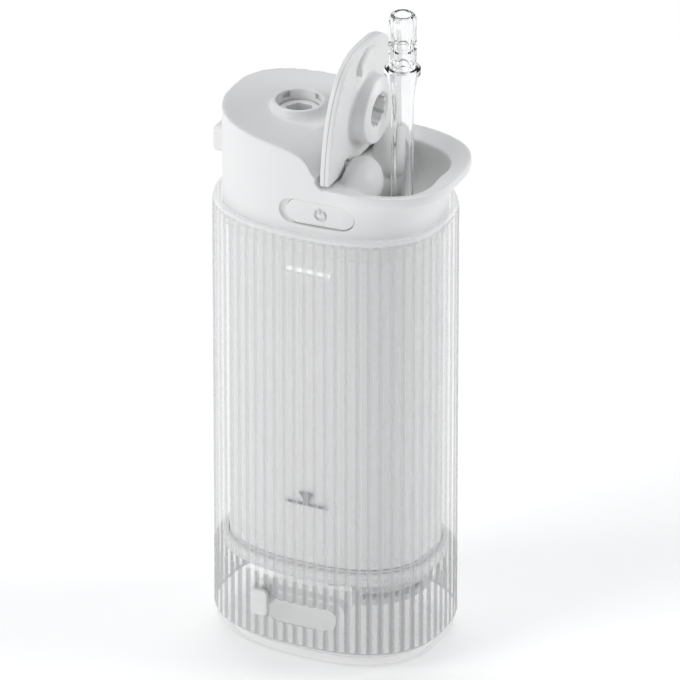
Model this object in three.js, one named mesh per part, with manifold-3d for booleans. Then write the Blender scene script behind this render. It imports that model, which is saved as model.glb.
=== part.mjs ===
// Portable ear irrigator, millimetres, +Z up. The origin is the centre of the reservoir's flat base,
// +X points along the long side of the plan towards the storage bowl, and the front faces -Y.

import * as THREE from 'three';
import { mergeVertices } from 'three/addons/utils/BufferGeometryUtils.js';
import Module from 'manifold-3d';

const wasm = await Module();
wasm.setup();

// ---------------------------------------------------------------- driving dimensions

const PLAN_POWER = 2.5;
const SEAM_GAP = 0.3;
const RUNNING_GAP = 0.3;
const REACH = 60;

// Reservoir.
const TANK_HALF_X = 32.65;
const TANK_HALF_Y = 25.15;
const TANK_HEIGHT = 131;
const TANK_WALL = 1.6;
const TANK_FLOOR = 2.4;
const TANK_BASE_FILLET = 4.5;
const TANK_INNER_FILLET = 3;
const TANK_INNER_X = TANK_HALF_X - TANK_WALL;
const TANK_INNER_Y = TANK_HALF_Y - TANK_WALL;
const RIB_COUNT = 64;
const RIB_HEIGHT = 0.45;
const RIB_START = 8.5;
const RIM_BAND = 1.2;
const RIB_RAMP = 0.8;

// Finger pocket and fill plug, low on the front of the reservoir.
const POCKET_X = 1.9;
const POCKET_WIDTH = 19.4;
const POCKET_TOP = 18.6;
const POCKET_BOTTOM = 11.9;
const POCKET_FLOOR_RISE = 3.3;
const POCKET_DEPTH = 3.4;
const POCKET_WALL = 1.6;
const PLUG_X = -10.4;
const PLUG_Z = 17.2;
const PLUG_STEM_RADIUS = 2.6;
const PLUG_TAB_WIDTH = 5.1;
const PLUG_TAB_HEIGHT = 7.8;
const PLUG_TAB_THICKNESS = 1.3;
const PLUG_TAB_CORNER = 1.4;

// Inner body that telescopes in the reservoir.
const BODY_CLEARANCE = 2.15;
const BODY_HALF_X = TANK_INNER_X - BODY_CLEARANCE;
const BODY_HALF_Y = TANK_INNER_Y - BODY_CLEARANCE;
const BODY_WALL = 1.6;
const BODY_INNER_X = BODY_HALF_X - BODY_WALL;
const BODY_INNER_Y = BODY_HALF_Y - BODY_WALL;
const CAP_BOTTOM = 24.5;
const CAP_TOP = 29.3;
const CAP_FLOOR = 1.6;
const CAP_FLOOR_TOP = CAP_BOTTOM + CAP_FLOOR;
const HEAD_BOTTOM = TANK_HEIGHT - 7;
const SEAL_BOTTOM = 25.2;
const SEAL_HEIGHT = 3.4;
const SCREW_FROM_SIDE = 9.4;
const SCREW_FROM_BACK = 8;
const SCREW_SIDE = BODY_HALF_X - SCREW_FROM_SIDE;
const SCREW_BACK = BODY_HALF_Y - SCREW_FROM_BACK;
const SCREW_PLACES = [
  [-SCREW_SIDE, -SCREW_BACK],
  [-SCREW_SIDE, SCREW_BACK],
  [SCREW_SIDE, SCREW_BACK],
  [8, 4 - BODY_HALF_Y],
];
const SCREW_SHAFT_RADIUS = 0.9;
const SCREW_HEAD_RADIUS = 2;
const SCREW_HEAD_HEIGHT = 1.3;
const SCREW_LENGTH = 9;
const SCREW_BOSS_RADIUS = 2.6;
const SCREW_BOSS_HEIGHT = 7.4;

// Indicator light and level mark on the front of the inner body.
const INDICATOR_X = 1.8;
const INDICATOR_Z = HEAD_BOTTOM - 5.8;
const INDICATOR_WIDTH = 13.5;
const INDICATOR_HEIGHT = 1.2;
const INDICATOR_BEHIND = 1.2;
const MARK_X = 1.6;
const MARK_LINE_Z = 47.8;
const MARK_LINE_WIDTH = 12.6;
const MARK_LINE_HEIGHT = 0.55;
const MARK_TRIANGLE_WIDTH = 4.4;
const MARK_TRIANGLE_HEIGHT = 2.9;
const MARK_THICKNESS = 0.35;

// Intake under the cap.
const INTAKE_LEFT = 13.9;
const INTAKE_BACK = -1.5;
const INTAKE_DEPTH = 5.7;
const INTAKE_INSET = 0.7;
const INTAKE_SLOT_BOTTOM = 20.3;
const INTAKE_SLOT_HEIGHT = 1.8;
const INTAKE_SLOT_DEPTH = 2.4;
const INTAKE_SLOT_LEFT = 16.5;
const INTAKE_X = 20;
const INTAKE_Y = -6.5;
const FILTER_RADIUS = 4;
const FILTER_HEIGHT = 2.4;
const FILTER_HOLE_RADIUS = 0.6;
const FILTER_HOLE_CIRCLE = 2.2;
const NIPPLE_RADIUS = 2;
const NIPPLE_BORE = 1.15;
const NIPPLE_LENGTH = 4.5;
const HOSE_RADIUS = 2.1;
const HOSE_BORE = 1.15;

// Head.
const HEAD_OVERHANG = 1.5;
const HEAD_HALF_X = BODY_HALF_X + HEAD_OVERHANG;
const HEAD_HALF_Y = BODY_HALF_Y + HEAD_OVERHANG;
const HEAD_WALL = 1.8;
const HEAD_TOP_SKIN = 2;
const RIM_Z = TANK_HEIGHT + 13.5;
const HEAD_HIGH = RIM_Z + 12.8;
const RIM_HALF_X = HEAD_HALF_X + 5.6;
const RIM_HALF_Y = HEAD_HALF_Y + 0.7;
const RIM_POWER = 3;
const FLARE_START = RIM_Z - 11.5;
const FLARE_END = RIM_Z - 2.6;
const FLARE_BLEND_FROM = 4;
const FLARE_BLEND_TO = 16;
const HINGE_X = 7;
const STEP_X = HINGE_X + 0.6;
const HEAD_SPARE = 4;

// Storage bowl, tube and ear tip.
const TIP_TOP = RIM_Z + 44.4;
const TIP_LENGTH = 75;
const TIP_CONNECTOR_RADIUS = 3.65;
const TIP_CONNECTOR_LENGTH = 15.4;
const TIP_FLANGE_RADIUS = TIP_CONNECTOR_RADIUS + 1.2;
const TIP_FLANGE_HEIGHT = 2.2;
const TIP_SHAFT_RADIUS = 3;
const TIP_TAPER_LENGTH = 10.4;
const TIP_BORE_RADIUS = 2.3;
const TIP_BORE_LENGTH = 32.5;
const TIP_JET_RADIUS = 0.7;
const BAY_CLEARANCE = 1.35;
const BAY_RADIUS = TIP_FLANGE_RADIUS + BAY_CLEARANCE;
const BAY_WALL = 1.2;
const BAY_X = BODY_INNER_X - SEAM_GAP - BAY_WALL - BAY_RADIUS;
const BAY_BOTTOM = 64;
const FUNNEL_DEPTH = 13;
const FUNNEL_WALL = 1.5;
const FUNNEL_UNDER = 1.2;
const FUNNEL_LEFT = HINGE_X + 1.6;
const LIP_WIDTH = 1;
const BAND_WIDTH = 4.7;
const BAND_DROP = 1.8;
const BAND_SHARE = 0.25;
const THROAT_LENGTH = 2;
const THROAT_OVERLAP = 9;
const MOUND_X = HINGE_X + 4.5;
const MOUND_Y = 9.6;
const MOUND_TOP = RIM_Z + 4.2;
const MOUND_SIZE = [6, 8.2, 7.2];
const MOUND_GAP = 0.6;

// Nozzle collar and socket on top of the head.
const SOCKET_X = -10.7;
const COLLAR_TOP = HEAD_HIGH + 0.1;
const COLLAR_RADIUS = 7.3;
const COLLAR_WALL = 1.1;
const COLLAR_BLEND = 3.4;
const COLLAR_SHOULDER = 0.5;
const COLLAR_FOOT = 5;
const COLLAR_EDGE = 0.4;
const COLLAR_BORE = COLLAR_RADIUS - COLLAR_WALL;
const COLLAR_BOTTOM = COLLAR_TOP - 9.9;
const SOCKET_DEPTH = 3.1;
const SOCKET_TOP = COLLAR_TOP - SOCKET_DEPTH;
const HEX_RADIUS = TIP_CONNECTOR_RADIUS + 0.4;
const HEX_DEPTH = 5.3;
const SOCKET_STUB_LENGTH = 4.7;
const SEAL_CORD_RADIUS = 0.55;
const SLOT_COUNT = 4;
const SLOT_FIRST_ANGLE = 60;
const SLOT_WIDTH = 2.2;
const SLOT_HEIGHT = 1.4;
const SLOT_DEPTH = 0.7;
const SLOT_BELOW_TOP = 1.7;

// Lid, drawn closed around its hinge pin and then turned open.
const LID_LAYER = 1.35;
const LID_SPLIT = 0.15;
const LID_HALF = LID_LAYER + LID_SPLIT;
const HINGE_Z = RIM_Z + LID_HALF + 0.6;
const LID_END_X = RIM_HALF_X + 2.8;
const LID_HALF_Y = RIM_HALF_Y - 1.6;
const LID_POWER = 2.8;
const LID_OPEN_DEG = 88;
const LID_LINER_INSET = 0.5;
const LID_BOSS_REACH = BAY_X - HINGE_X;
const LID_BOSS_RADIUS = 9.4;
const LID_BOSS_HEIGHT = 4;
const LID_HOLE_RADIUS = TIP_CONNECTOR_RADIUS + 0.95;
const LID_PAD_REACH = 24.8;
const LID_PAD_HALF_Y = 6.3;
const LID_PAD_HEIGHT = 1.4;
const LID_PAD_RADIUS = LID_PAD_HALF_Y + 2;
const LID_PAD_MARGIN = 1.4;
const PIN_RADIUS = 0.7;
const PIN_BORE_OVER = 6;
const BARREL_HALF_LENGTH = 10;
const EAR_THICKNESS = 2;
const EAR_RADIUS = 1.7;
const EAR_RELIEF = 0.5;
const ARM_REACH = 1;
const EAR_FOOT_Z = RIM_Z - 3;

// Controls.
const POWER_X = 5.8;
const POWER_Z = RIM_Z - 8;
const POWER_WIDTH = 19.4;
const POWER_HEIGHT = 7;
const POWER_GAP = 0.5;
const POWER_SINK = 0.3;
const POWER_FLANGE = 1.1;
const POWER_FLANGE_GAP = 0.4;
const POWER_FLANGE_THICKNESS = 1;
const POWER_STEM_RADIUS = 1.6;
const POWER_STEM_END = 4.7 - HEAD_HALF_Y;
const POWER_TRAVEL_GAP = 0.9;
const RELEASE_Z = RIM_Z - 1.1;
const RELEASE_HALF_Y = 6.6;
const RELEASE_HEIGHT = 7.4;
const RELEASE_OUT = 3;
const RELEASE_IN = 4;
const RELEASE_GAP = 0.35;
const RELEASE_CORNER = 1.8;
const LATCH_SHORT = 2.4;
const LATCH_DROP = 6;
const LATCH_THICKNESS = 1.8;
const LATCH_HALF_Y = 2.2;
const LATCH_PLATE_HALF_Y = 4.5;
const LATCH_PLATE_HEIGHT = 4;

// Charging port on the back of the head.
const PORT_X = -2;
const PORT_Z = RIM_Z - 7.5;
const PORT_WIDTH = 8.9;
const PORT_HEIGHT = 3.3;
const PORT_WALL = 0.4;
const PORT_DEPTH = 6.4;
const PORT_SETBACK = 0.4;
const PORT_END_WALL = 1.2;
const COVER_WIDTH = 13.8;
const COVER_HEIGHT = 7.8;
const COVER_THICKNESS = 1;
const COVER_RECESS = 0.8;

// Drive: motor, gears and piston pump.
const GEAR_MODULE = 0.8;
const PINION_TEETH = 9;
const GEAR_TEETH = 31;
const MOTOR_X = -15.5;
const GEAR_Z = 46;
const GEAR_Y = 4.4;
const GEAR_WIDTH = 3;
const CENTRE_DISTANCE = GEAR_MODULE * (PINION_TEETH + GEAR_TEETH) / 2;
const GEAR_X = MOTOR_X + CENTRE_DISTANCE;
const MOTOR_RADIUS = 7.6;
const MOTOR_LENGTH = 14;
const MOTOR_FACE_Y = 3;
const MOTOR_BUSH_RADIUS = 2.5;
const MOTOR_BUSH_LENGTH = 1.2;
const SHAFT_RADIUS = 0.9;
const SHAFT_OVER = 0.6;
const AXLE_RADIUS = 1;
const CRANK_RADIUS = 3.4;
const CRANK_PIN_RADIUS = 1.2;
const CRANK_PIN_LENGTH = 1.6;
const ROD_THICKNESS = 2;
const ROD_LENGTH = 21.1;
const ROD_BIG_RADIUS = 2.8;
const ROD_SMALL_RADIUS = 2.2;
const ROD_BAR_WIDTH = 2.6;
const PISTON_RADIUS = 4.4;
const PISTON_SKIRT = 4;
const PISTON_CROWN = 4.5;
const CYLINDER_WALL = 1.5;
const CYLINDER_BOTTOM = 62;
const CYLINDER_TOP = 86;
const WRIST_PIN_RADIUS = 0.9;
const WRIST_PIN_INSET = 1.2;
const INLET_BELOW_TOP = 4;
const INLET_LENGTH = 3;
const FRAME_Y = 1;
const FRAME_THICKNESS = 2.6;
const FRAME_LEFT = 6.5;
const FRAME_RIGHT = 7.5;
const FRAME_FOOT = 8;
const FRAME_FOOT_TOP = 2.4;

// Battery and electronics.
const BATTERY_X = -17.5;
const BATTERY_Y = 2;
const BATTERY_RADIUS = 7.1;
const BATTERY_LENGTH = 50;
const BATTERY_CAP_RADIUS = 2.84;
const BATTERY_CAP_HEIGHT = 0.8;
const BATTERY_BOTTOM = 66;
const BOARD_X = 0;
const SWITCH_THICKNESS = 1.6;
const BOARD_Y = POWER_STEM_END + POWER_TRAVEL_GAP + SWITCH_THICKNESS + SEAM_GAP;
const BOARD_WIDTH = 17;
const BOARD_THICKNESS = 1.2;
const BOARD_BOTTOM = POWER_Z - 44.5;
const BOARD_TOP = POWER_Z + 2.9;
const SWITCH_SIZE = 5;

// ---------------------------------------------------------------- materials

function material(name, color, roughness, metalness = 0, opacity = 1) {
  const made = new THREE.MeshStandardMaterial({ color, roughness, metalness, opacity });
  made.name = name;
  made.transparent = opacity < 1;
  return made;
}

const MATERIALS = {
  clearTank: material('clear_tank_plastic', 0xe9edf0, 0.18, 0, 0.35),
  clearTip: material('clear_tip_plastic', 0xf6f8fa, 0.05, 0, 0.25),
  head: material('white_head_plastic', 0xe9e9e9, 0.45),
  body: material('white_body_plastic', 0xdcdcdc, 0.5),
  light: material('light_guide_plastic', 0xfafafa, 0.3),
  mark: material('grey_mark_print', 0x55595c, 0.6),
  silicone: material('white_silicone', 0xf2f2f0, 0.7),
  seal: material('grey_seal_rubber', 0xb9bcbe, 0.8),
  gear: material('white_gear_plastic', 0xd8d6cc, 0.5),
  steel: material('bright_steel', 0xc8cacc, 0.3, 1),
  can: material('motor_can_steel', 0xaeb1b4, 0.35, 1),
  wrap: material('battery_wrap', 0x3f6f9f, 0.4),
  board: material('board_green', 0x2f6b45, 0.5),
  filter: material('filter_plastic', 0x9a9ea1, 0.7),
};

// ---------------------------------------------------------------- shape helpers

const assembly = new THREE.Group();
assembly.name = 'ear_irrigator';

function add(name, geometry, look, parent = assembly) {
  const mesh = new THREE.Mesh(geometry, look);
  mesh.name = name;
  parent.add(mesh);
  return mesh;
}

function solidOf(geometry) {
  const plain = geometry.clone();
  plain.deleteAttribute('normal');
  plain.deleteAttribute('uv');
  const merged = mergeVertices(plain, 1e-4);
  return new wasm.Manifold(new wasm.Mesh({
    numProp: 3,
    vertProperties: Float32Array.from(merged.attributes.position.array),
    triVerts: Uint32Array.from(merged.index.array),
  }));
}

function geometryOf(solid) {
  const mesh = solid.getMesh();
  const geometry = new THREE.BufferGeometry();
  geometry.setAttribute('position', new THREE.BufferAttribute(Float32Array.from(mesh.vertProperties), 3));
  geometry.setIndex(new THREE.BufferAttribute(Uint32Array.from(mesh.triVerts), 1));
  geometry.computeVertexNormals();
  return geometry;
}

// Points of a superellipse, evenly spaced along its length, counter-clockwise seen from above.
function planOutline(halfX, halfY, power, count) {
  const fine = 1440;
  const trace = [];
  for (let i = 0; i <= fine; i++) {
    const angle = 2 * Math.PI * i / fine;
    trace.push(polarPoint(halfX, halfY, power, angle));
  }
  const curve = [0];
  for (let i = 1; i <= fine; i++) curve.push(curve[i - 1] + trace[i].distanceTo(trace[i - 1]));
  const points = [];
  let at = 0;
  for (let i = 0; i < count; i++) {
    const wanted = curve[fine] * i / count;
    while (curve[at + 1] < wanted) at++;
    const share = (wanted - curve[at]) / (curve[at + 1] - curve[at]);
    points.push(trace[at].clone().lerp(trace[at + 1], share));
  }
  return points;
}

function polarRadius(halfX, halfY, power, angle) {
  const across = Math.abs(Math.cos(angle) / halfX) ** power;
  const along = Math.abs(Math.sin(angle) / halfY) ** power;
  return (across + along) ** (-1 / power);
}

function polarPoint(halfX, halfY, power, angle) {
  const radius = polarRadius(halfX, halfY, power, angle);
  return new THREE.Vector2(radius * Math.cos(angle), radius * Math.sin(angle));
}

function ringAt(points, z) {
  return points.map((point) => new THREE.Vector3(point.x, point.y, z));
}

function planRing(halfX, halfY, z, count = 56, power = PLAN_POWER) {
  return ringAt(planOutline(halfX, halfY, power, count), z);
}

// Closed body through a stack of rings that all have the same number of points.
function loft(rings) {
  const count = rings[0].length;
  const points = rings.flat();
  const faces = [];
  for (let row = 0; row < rings.length - 1; row++) {
    for (let i = 0; i < count; i++) {
      const next = (i + 1) % count;
      const low = row * count;
      const high = low + count;
      faces.push(low + i, low + next, high + next, low + i, high + next, high + i);
    }
  }
  const last = (rings.length - 1) * count;
  const bottom = points.push(middle(rings[0])) - 1;
  const top = points.push(middle(rings[rings.length - 1])) - 1;
  for (let i = 0; i < count; i++) {
    const next = (i + 1) % count;
    faces.push(bottom, next, i, top, last + i, last + next);
  }
  const geometry = new THREE.BufferGeometry().setFromPoints(points);
  geometry.setIndex(faces);
  geometry.computeVertexNormals();
  return geometry;
}

function middle(points) {
  const sum = new THREE.Vector3();
  points.forEach((point) => sum.add(point));
  return sum.divideScalar(points.length);
}

function planSolid(halfX, halfY, low, high, count = 56, power = PLAN_POWER) {
  const rings = [low, high].map((z) => planRing(halfX, halfY, z, count, power));
  return solidOf(loft(rings));
}

function box(x0, x1, y0, y1, z0, z1) {
  const geometry = new THREE.BoxGeometry(x1 - x0, y1 - y0, z1 - z0);
  geometry.translate((x0 + x1) / 2, (y0 + y1) / 2, (z0 + z1) / 2);
  return solidOf(geometry);
}

function upright(radius, x, y, low, high, sides = 32, start = 0) {
  const geometry = new THREE.CylinderGeometry(radius, radius, high - low, sides);
  geometry.rotateX(Math.PI / 2);
  geometry.rotateZ(start);
  geometry.translate(x, y, (low + high) / 2);
  return solidOf(geometry);
}

function crosswise(radius, x, z, front, back, sides = 24) {
  const geometry = new THREE.CylinderGeometry(radius, radius, back - front, sides);
  geometry.translate(x, (front + back) / 2, z);
  return solidOf(geometry);
}

function lathe(profile, x, y, sides = 40) {
  const geometry = new THREE.LatheGeometry(profile.map(([r, z]) => new THREE.Vector2(r, z)), sides);
  geometry.rotateX(Math.PI / 2);
  geometry.translate(x, y, 0);
  return solidOf(geometry);
}

function stadium(width, height) {
  const radius = height / 2;
  const reach = width / 2 - radius;
  const shape = new THREE.Shape();
  shape.absarc(reach, 0, radius, -Math.PI / 2, Math.PI / 2, false);
  shape.absarc(-reach, 0, radius, Math.PI / 2, 3 * Math.PI / 2, false);
  shape.closePath();
  return shape;
}

function roundedPlate(width, height, corner) {
  const x = width / 2 - corner;
  const y = height / 2 - corner;
  const shape = new THREE.Shape();
  shape.absarc(x, -y, corner, -Math.PI / 2, 0, false);
  shape.absarc(x, y, corner, 0, Math.PI / 2, false);
  shape.absarc(-x, y, corner, Math.PI / 2, Math.PI, false);
  shape.absarc(-x, -y, corner, Math.PI, 3 * Math.PI / 2, false);
  shape.closePath();
  return shape;
}

function polygon(points) {
  return new THREE.Shape(points.map(([x, y]) => new THREE.Vector2(x, y)));
}

// A shape drawn in X and Z, filled from the front Y to the back Y.
function facing(shape, x, z, front, back, curveSegments = 8) {
  const options = { depth: back - front, bevelEnabled: false, curveSegments };
  const geometry = new THREE.ExtrudeGeometry(shape, options);
  geometry.rotateX(Math.PI / 2);
  geometry.translate(x, back, z);
  return solidOf(geometry);
}

// A shape drawn in Y and Z, filled from the low X to the high X.
function sideways(shape, y, z, low, high, curveSegments = 6) {
  const options = { depth: high - low, bevelEnabled: false, curveSegments };
  const geometry = new THREE.ExtrudeGeometry(shape, options);
  geometry.rotateX(Math.PI / 2);
  geometry.rotateZ(Math.PI / 2);
  geometry.translate(low, y, z);
  return solidOf(geometry);
}

function hose(points) {
  const section = new THREE.Shape();
  section.absarc(0, 0, HOSE_RADIUS, 0, 2 * Math.PI, false);
  const bore = new THREE.Path();
  bore.absarc(0, 0, HOSE_BORE, 0, 2 * Math.PI, true);
  section.holes.push(bore);
  const path = new THREE.CatmullRomCurve3(points.map(([x, y, z]) => new THREE.Vector3(x, y, z)));
  const options = { steps: 18, extrudePath: path, curveSegments: 4, bevelEnabled: false };
  return new THREE.ExtrudeGeometry(section, options);
}

// ---------------------------------------------------------------- reservoir

function ribbedRing(inset, rib, z) {
  const steps = 3;
  const lift = [0, 1, 1];
  const outline = planOutline(TANK_HALF_X - inset, TANK_HALF_Y - inset, PLAN_POWER, RIB_COUNT * steps);
  return outline.map((point, i) => {
    const before = outline[(i + outline.length - 1) % outline.length];
    const after = outline[(i + 1) % outline.length];
    const outward = new THREE.Vector2(after.y - before.y, before.x - after.x).normalize();
    const grown = point.clone().addScaledVector(outward, rib * lift[i % steps]);
    return new THREE.Vector3(grown.x, grown.y, z);
  });
}

function tankOutside() {
  const rings = [];
  const filletSteps = 3;
  for (let i = 0; i <= filletSteps; i++) {
    const angle = Math.PI / 2 * i / filletSteps;
    const inset = TANK_BASE_FILLET * (1 - Math.sin(angle));
    rings.push(ribbedRing(inset, 0, TANK_BASE_FILLET * (1 - Math.cos(angle))));
  }
  const ribTop = TANK_HEIGHT - RIM_BAND;
  rings.push(ribbedRing(0, 0, RIB_START));
  rings.push(ribbedRing(0, RIB_HEIGHT, RIB_START + RIB_RAMP));
  rings.push(ribbedRing(0, RIB_HEIGHT, ribTop - RIB_RAMP));
  rings.push(ribbedRing(0, 0, ribTop));
  rings.push(ribbedRing(0, 0, TANK_HEIGHT));
  return solidOf(loft(rings));
}

function tankInside() {
  const low = TANK_INNER_FILLET;
  return solidOf(loft([
    planRing(TANK_INNER_X - low, TANK_INNER_Y - low, TANK_FLOOR),
    planRing(TANK_INNER_X - low / 3, TANK_INNER_Y - low / 3, TANK_FLOOR + low / 3),
    planRing(TANK_INNER_X, TANK_INNER_Y, TANK_FLOOR + low),
    planRing(TANK_INNER_X, TANK_INNER_Y, TANK_HEIGHT + 1),
  ]));
}

function frontOfTank(x) {
  return -TANK_HALF_Y * (1 - Math.abs(x / TANK_HALF_X) ** PLAN_POWER) ** (1 / PLAN_POWER);
}

function fingerPocket(grow) {
  const front = -TANK_HALF_Y - RIB_HEIGHT - 2;
  const back = -TANK_HALF_Y + POCKET_DEPTH + grow;
  const section = polygon([
    [front, POCKET_BOTTOM - grow],
    [-TANK_HALF_Y, POCKET_BOTTOM - grow],
    [back, POCKET_BOTTOM + POCKET_FLOOR_RISE - grow],
    [back, POCKET_TOP + grow],
    [front, POCKET_TOP + grow],
  ]);
  const half = POCKET_WIDTH / 2 + grow;
  return sideways(section, 0, 0, POCKET_X - half, POCKET_X + half);
}

function plugSeat(radius) {
  return crosswise(radius, PLUG_X, PLUG_Z, -TANK_HALF_Y - 3, -TANK_HALF_Y + POCKET_DEPTH + POCKET_WALL);
}

function reservoir() {
  const backing = fingerPocket(POCKET_WALL).add(plugSeat(PLUG_STEM_RADIUS + RUNNING_GAP + POCKET_WALL));
  const inside = tankInside().subtract(backing);
  const bore = crosswise(PLUG_STEM_RADIUS + RUNNING_GAP, PLUG_X, PLUG_Z, -REACH, -TANK_HALF_Y / 2);
  return tankOutside().subtract(inside).subtract(fingerPocket(0)).subtract(bore);
}

function fillPlug() {
  const face = frontOfTank(PLUG_X + PLUG_TAB_WIDTH / 2) - RIB_HEIGHT - SEAM_GAP;
  const plate = roundedPlate(PLUG_TAB_WIDTH, PLUG_TAB_HEIGHT, PLUG_TAB_CORNER);
  const tab = facing(plate, PLUG_X, PLUG_Z, face - PLUG_TAB_THICKNESS, face);
  const stemEnd = -TANK_HALF_Y + POCKET_DEPTH + POCKET_WALL;
  return tab.add(crosswise(PLUG_STEM_RADIUS, PLUG_X, PLUG_Z, face - PLUG_TAB_THICKNESS / 2, stemEnd));
}

// ---------------------------------------------------------------- inner body

function wallTube(halfX, halfY, wall, low, high) {
  const inside = planSolid(halfX - wall, halfY - wall, low - 1, high + 1);
  return planSolid(halfX, halfY, low, high).subtract(inside);
}

function bodyShell() {
  const low = CAP_TOP + SEAM_GAP;
  let shell = wallTube(BODY_HALF_X, BODY_HALF_Y, BODY_WALL, low, HEAD_BOTTOM - SEAM_GAP);
  const within = planSolid(BODY_HALF_X - BODY_WALL / 2, BODY_HALF_Y - BODY_WALL / 2, low, HEAD_BOTTOM);
  SCREW_PLACES.forEach(([x, y]) => {
    const boss = upright(SCREW_BOSS_RADIUS, x, y, low, low + SCREW_BOSS_HEIGHT, 20);
    shell = shell.add(boss.intersect(within));
  });
  SCREW_PLACES.forEach(([x, y]) => {
    const bore = SCREW_SHAFT_RADIUS + RUNNING_GAP;
    shell = shell.subtract(upright(bore, x, y, low - 1, low + SCREW_BOSS_HEIGHT - 1, 16));
  });
  const window = stadium(INDICATOR_WIDTH + 2 * RUNNING_GAP, INDICATOR_HEIGHT + 2 * RUNNING_GAP);
  return shell.subtract(facing(window, INDICATOR_X, INDICATOR_Z, -REACH, -BODY_INNER_Y / 2));
}

function bottomCap() {
  const cup = planSolid(BODY_HALF_X, BODY_HALF_Y, CAP_BOTTOM, CAP_TOP)
    .subtract(planSolid(BODY_INNER_X, BODY_INNER_Y, CAP_FLOOR_TOP, CAP_TOP + 1));
  const nippleEnd = CAP_FLOOR_TOP + NIPPLE_LENGTH;
  let cap = cup.add(upright(NIPPLE_RADIUS, INTAKE_X, INTAKE_Y, CAP_BOTTOM, nippleEnd, 20));
  cap = cap.subtract(upright(NIPPLE_BORE, INTAKE_X, INTAKE_Y, CAP_BOTTOM - 1, CAP_TOP + NIPPLE_LENGTH, 16));
  SCREW_PLACES.forEach(([x, y]) => {
    cap = cap.subtract(upright(SCREW_SHAFT_RADIUS + RUNNING_GAP, x, y, CAP_BOTTOM - 1, CAP_TOP, 16));
  });
  return cap;
}

function capScrew([x, y]) {
  const headTop = CAP_BOTTOM - SEAM_GAP;
  const head = upright(SCREW_HEAD_RADIUS, x, y, headTop - SCREW_HEAD_HEIGHT, headTop, 20);
  const shaftStart = headTop - SCREW_HEAD_HEIGHT / 2;
  return head.add(upright(SCREW_SHAFT_RADIUS, x, y, shaftStart, headTop + SCREW_LENGTH, 16));
}

function sealRing() {
  const top = SEAL_BOTTOM + SEAL_HEIGHT;
  return planSolid(TANK_INNER_X - RUNNING_GAP, TANK_INNER_Y - RUNNING_GAP, SEAL_BOTTOM, top)
    .subtract(planSolid(BODY_HALF_X + SEAM_GAP, BODY_HALF_Y + SEAM_GAP, SEAL_BOTTOM - 1, top + 1));
}

function intakeHousing() {
  const top = CAP_BOTTOM - SEAM_GAP;
  const low = top - INTAKE_DEPTH;
  const block = planSolid(BODY_HALF_X - INTAKE_INSET, BODY_HALF_Y - INTAKE_INSET, low, top)
    .intersect(box(INTAKE_LEFT, REACH, -REACH, INTAKE_BACK, 0, REACH));
  const slotTop = INTAKE_SLOT_BOTTOM + INTAKE_SLOT_HEIGHT;
  const keep = BODY_HALF_X - INTAKE_INSET - INTAKE_SLOT_DEPTH;
  const keepY = BODY_HALF_Y - INTAKE_INSET - INTAKE_SLOT_DEPTH;
  const slotBack = INTAKE_BACK - INTAKE_SLOT_DEPTH;
  const slot = box(INTAKE_SLOT_LEFT, REACH, -REACH, slotBack, INTAKE_SLOT_BOTTOM, slotTop)
    .subtract(planSolid(keep, keepY, 0, REACH));
  const pocketTop = low + FILTER_HEIGHT + RUNNING_GAP;
  const pocket = upright(FILTER_RADIUS + RUNNING_GAP, INTAKE_X, INTAKE_Y, low - 1, pocketTop);
  const bore = upright(NIPPLE_BORE, INTAKE_X, INTAKE_Y, low, REACH, 16);
  return block.subtract(slot).subtract(pocket).subtract(bore);
}

function intakeFilter() {
  const low = CAP_BOTTOM - SEAM_GAP - INTAKE_DEPTH;
  let disc = upright(FILTER_RADIUS, INTAKE_X, INTAKE_Y, low, low + FILTER_HEIGHT, 28);
  const holes = [[0, 0]];
  for (let i = 0; i < 6; i++) {
    const angle = i * Math.PI / 3;
    holes.push([FILTER_HOLE_CIRCLE * Math.cos(angle), FILTER_HOLE_CIRCLE * Math.sin(angle)]);
  }
  holes.forEach(([x, y]) => {
    const holeEnd = low + FILTER_HEIGHT + 1;
    disc = disc.subtract(upright(FILTER_HOLE_RADIUS, INTAKE_X + x, INTAKE_Y + y, low - 1, holeEnd, 8));
  });
  return disc;
}

function indicatorLight() {
  const bar = stadium(INDICATOR_WIDTH, INDICATOR_HEIGHT);
  return facing(bar, INDICATOR_X, INDICATOR_Z, -BODY_HALF_Y + SEAM_GAP / 2, INDICATOR_BEHIND - BODY_INNER_Y);
}

function levelLine() {
  const back = -BODY_HALF_Y - SEAM_GAP;
  const line = stadium(MARK_LINE_WIDTH, MARK_LINE_HEIGHT);
  return facing(line, MARK_X, MARK_LINE_Z, back - MARK_THICKNESS, back, 3);
}

function levelTriangle() {
  const back = -BODY_HALF_Y - SEAM_GAP;
  const half = MARK_TRIANGLE_WIDTH / 2;
  const shape = polygon([[0, 0], [half, MARK_TRIANGLE_HEIGHT], [-half, MARK_TRIANGLE_HEIGHT]]);
  const low = MARK_LINE_Z + MARK_LINE_HEIGHT;
  return facing(shape, MARK_X, low, back - MARK_THICKNESS, back);
}

// ---------------------------------------------------------------- head

function smoothStep(from, to, value) {
  return THREE.MathUtils.smoothstep(value, from, to);
}

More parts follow.
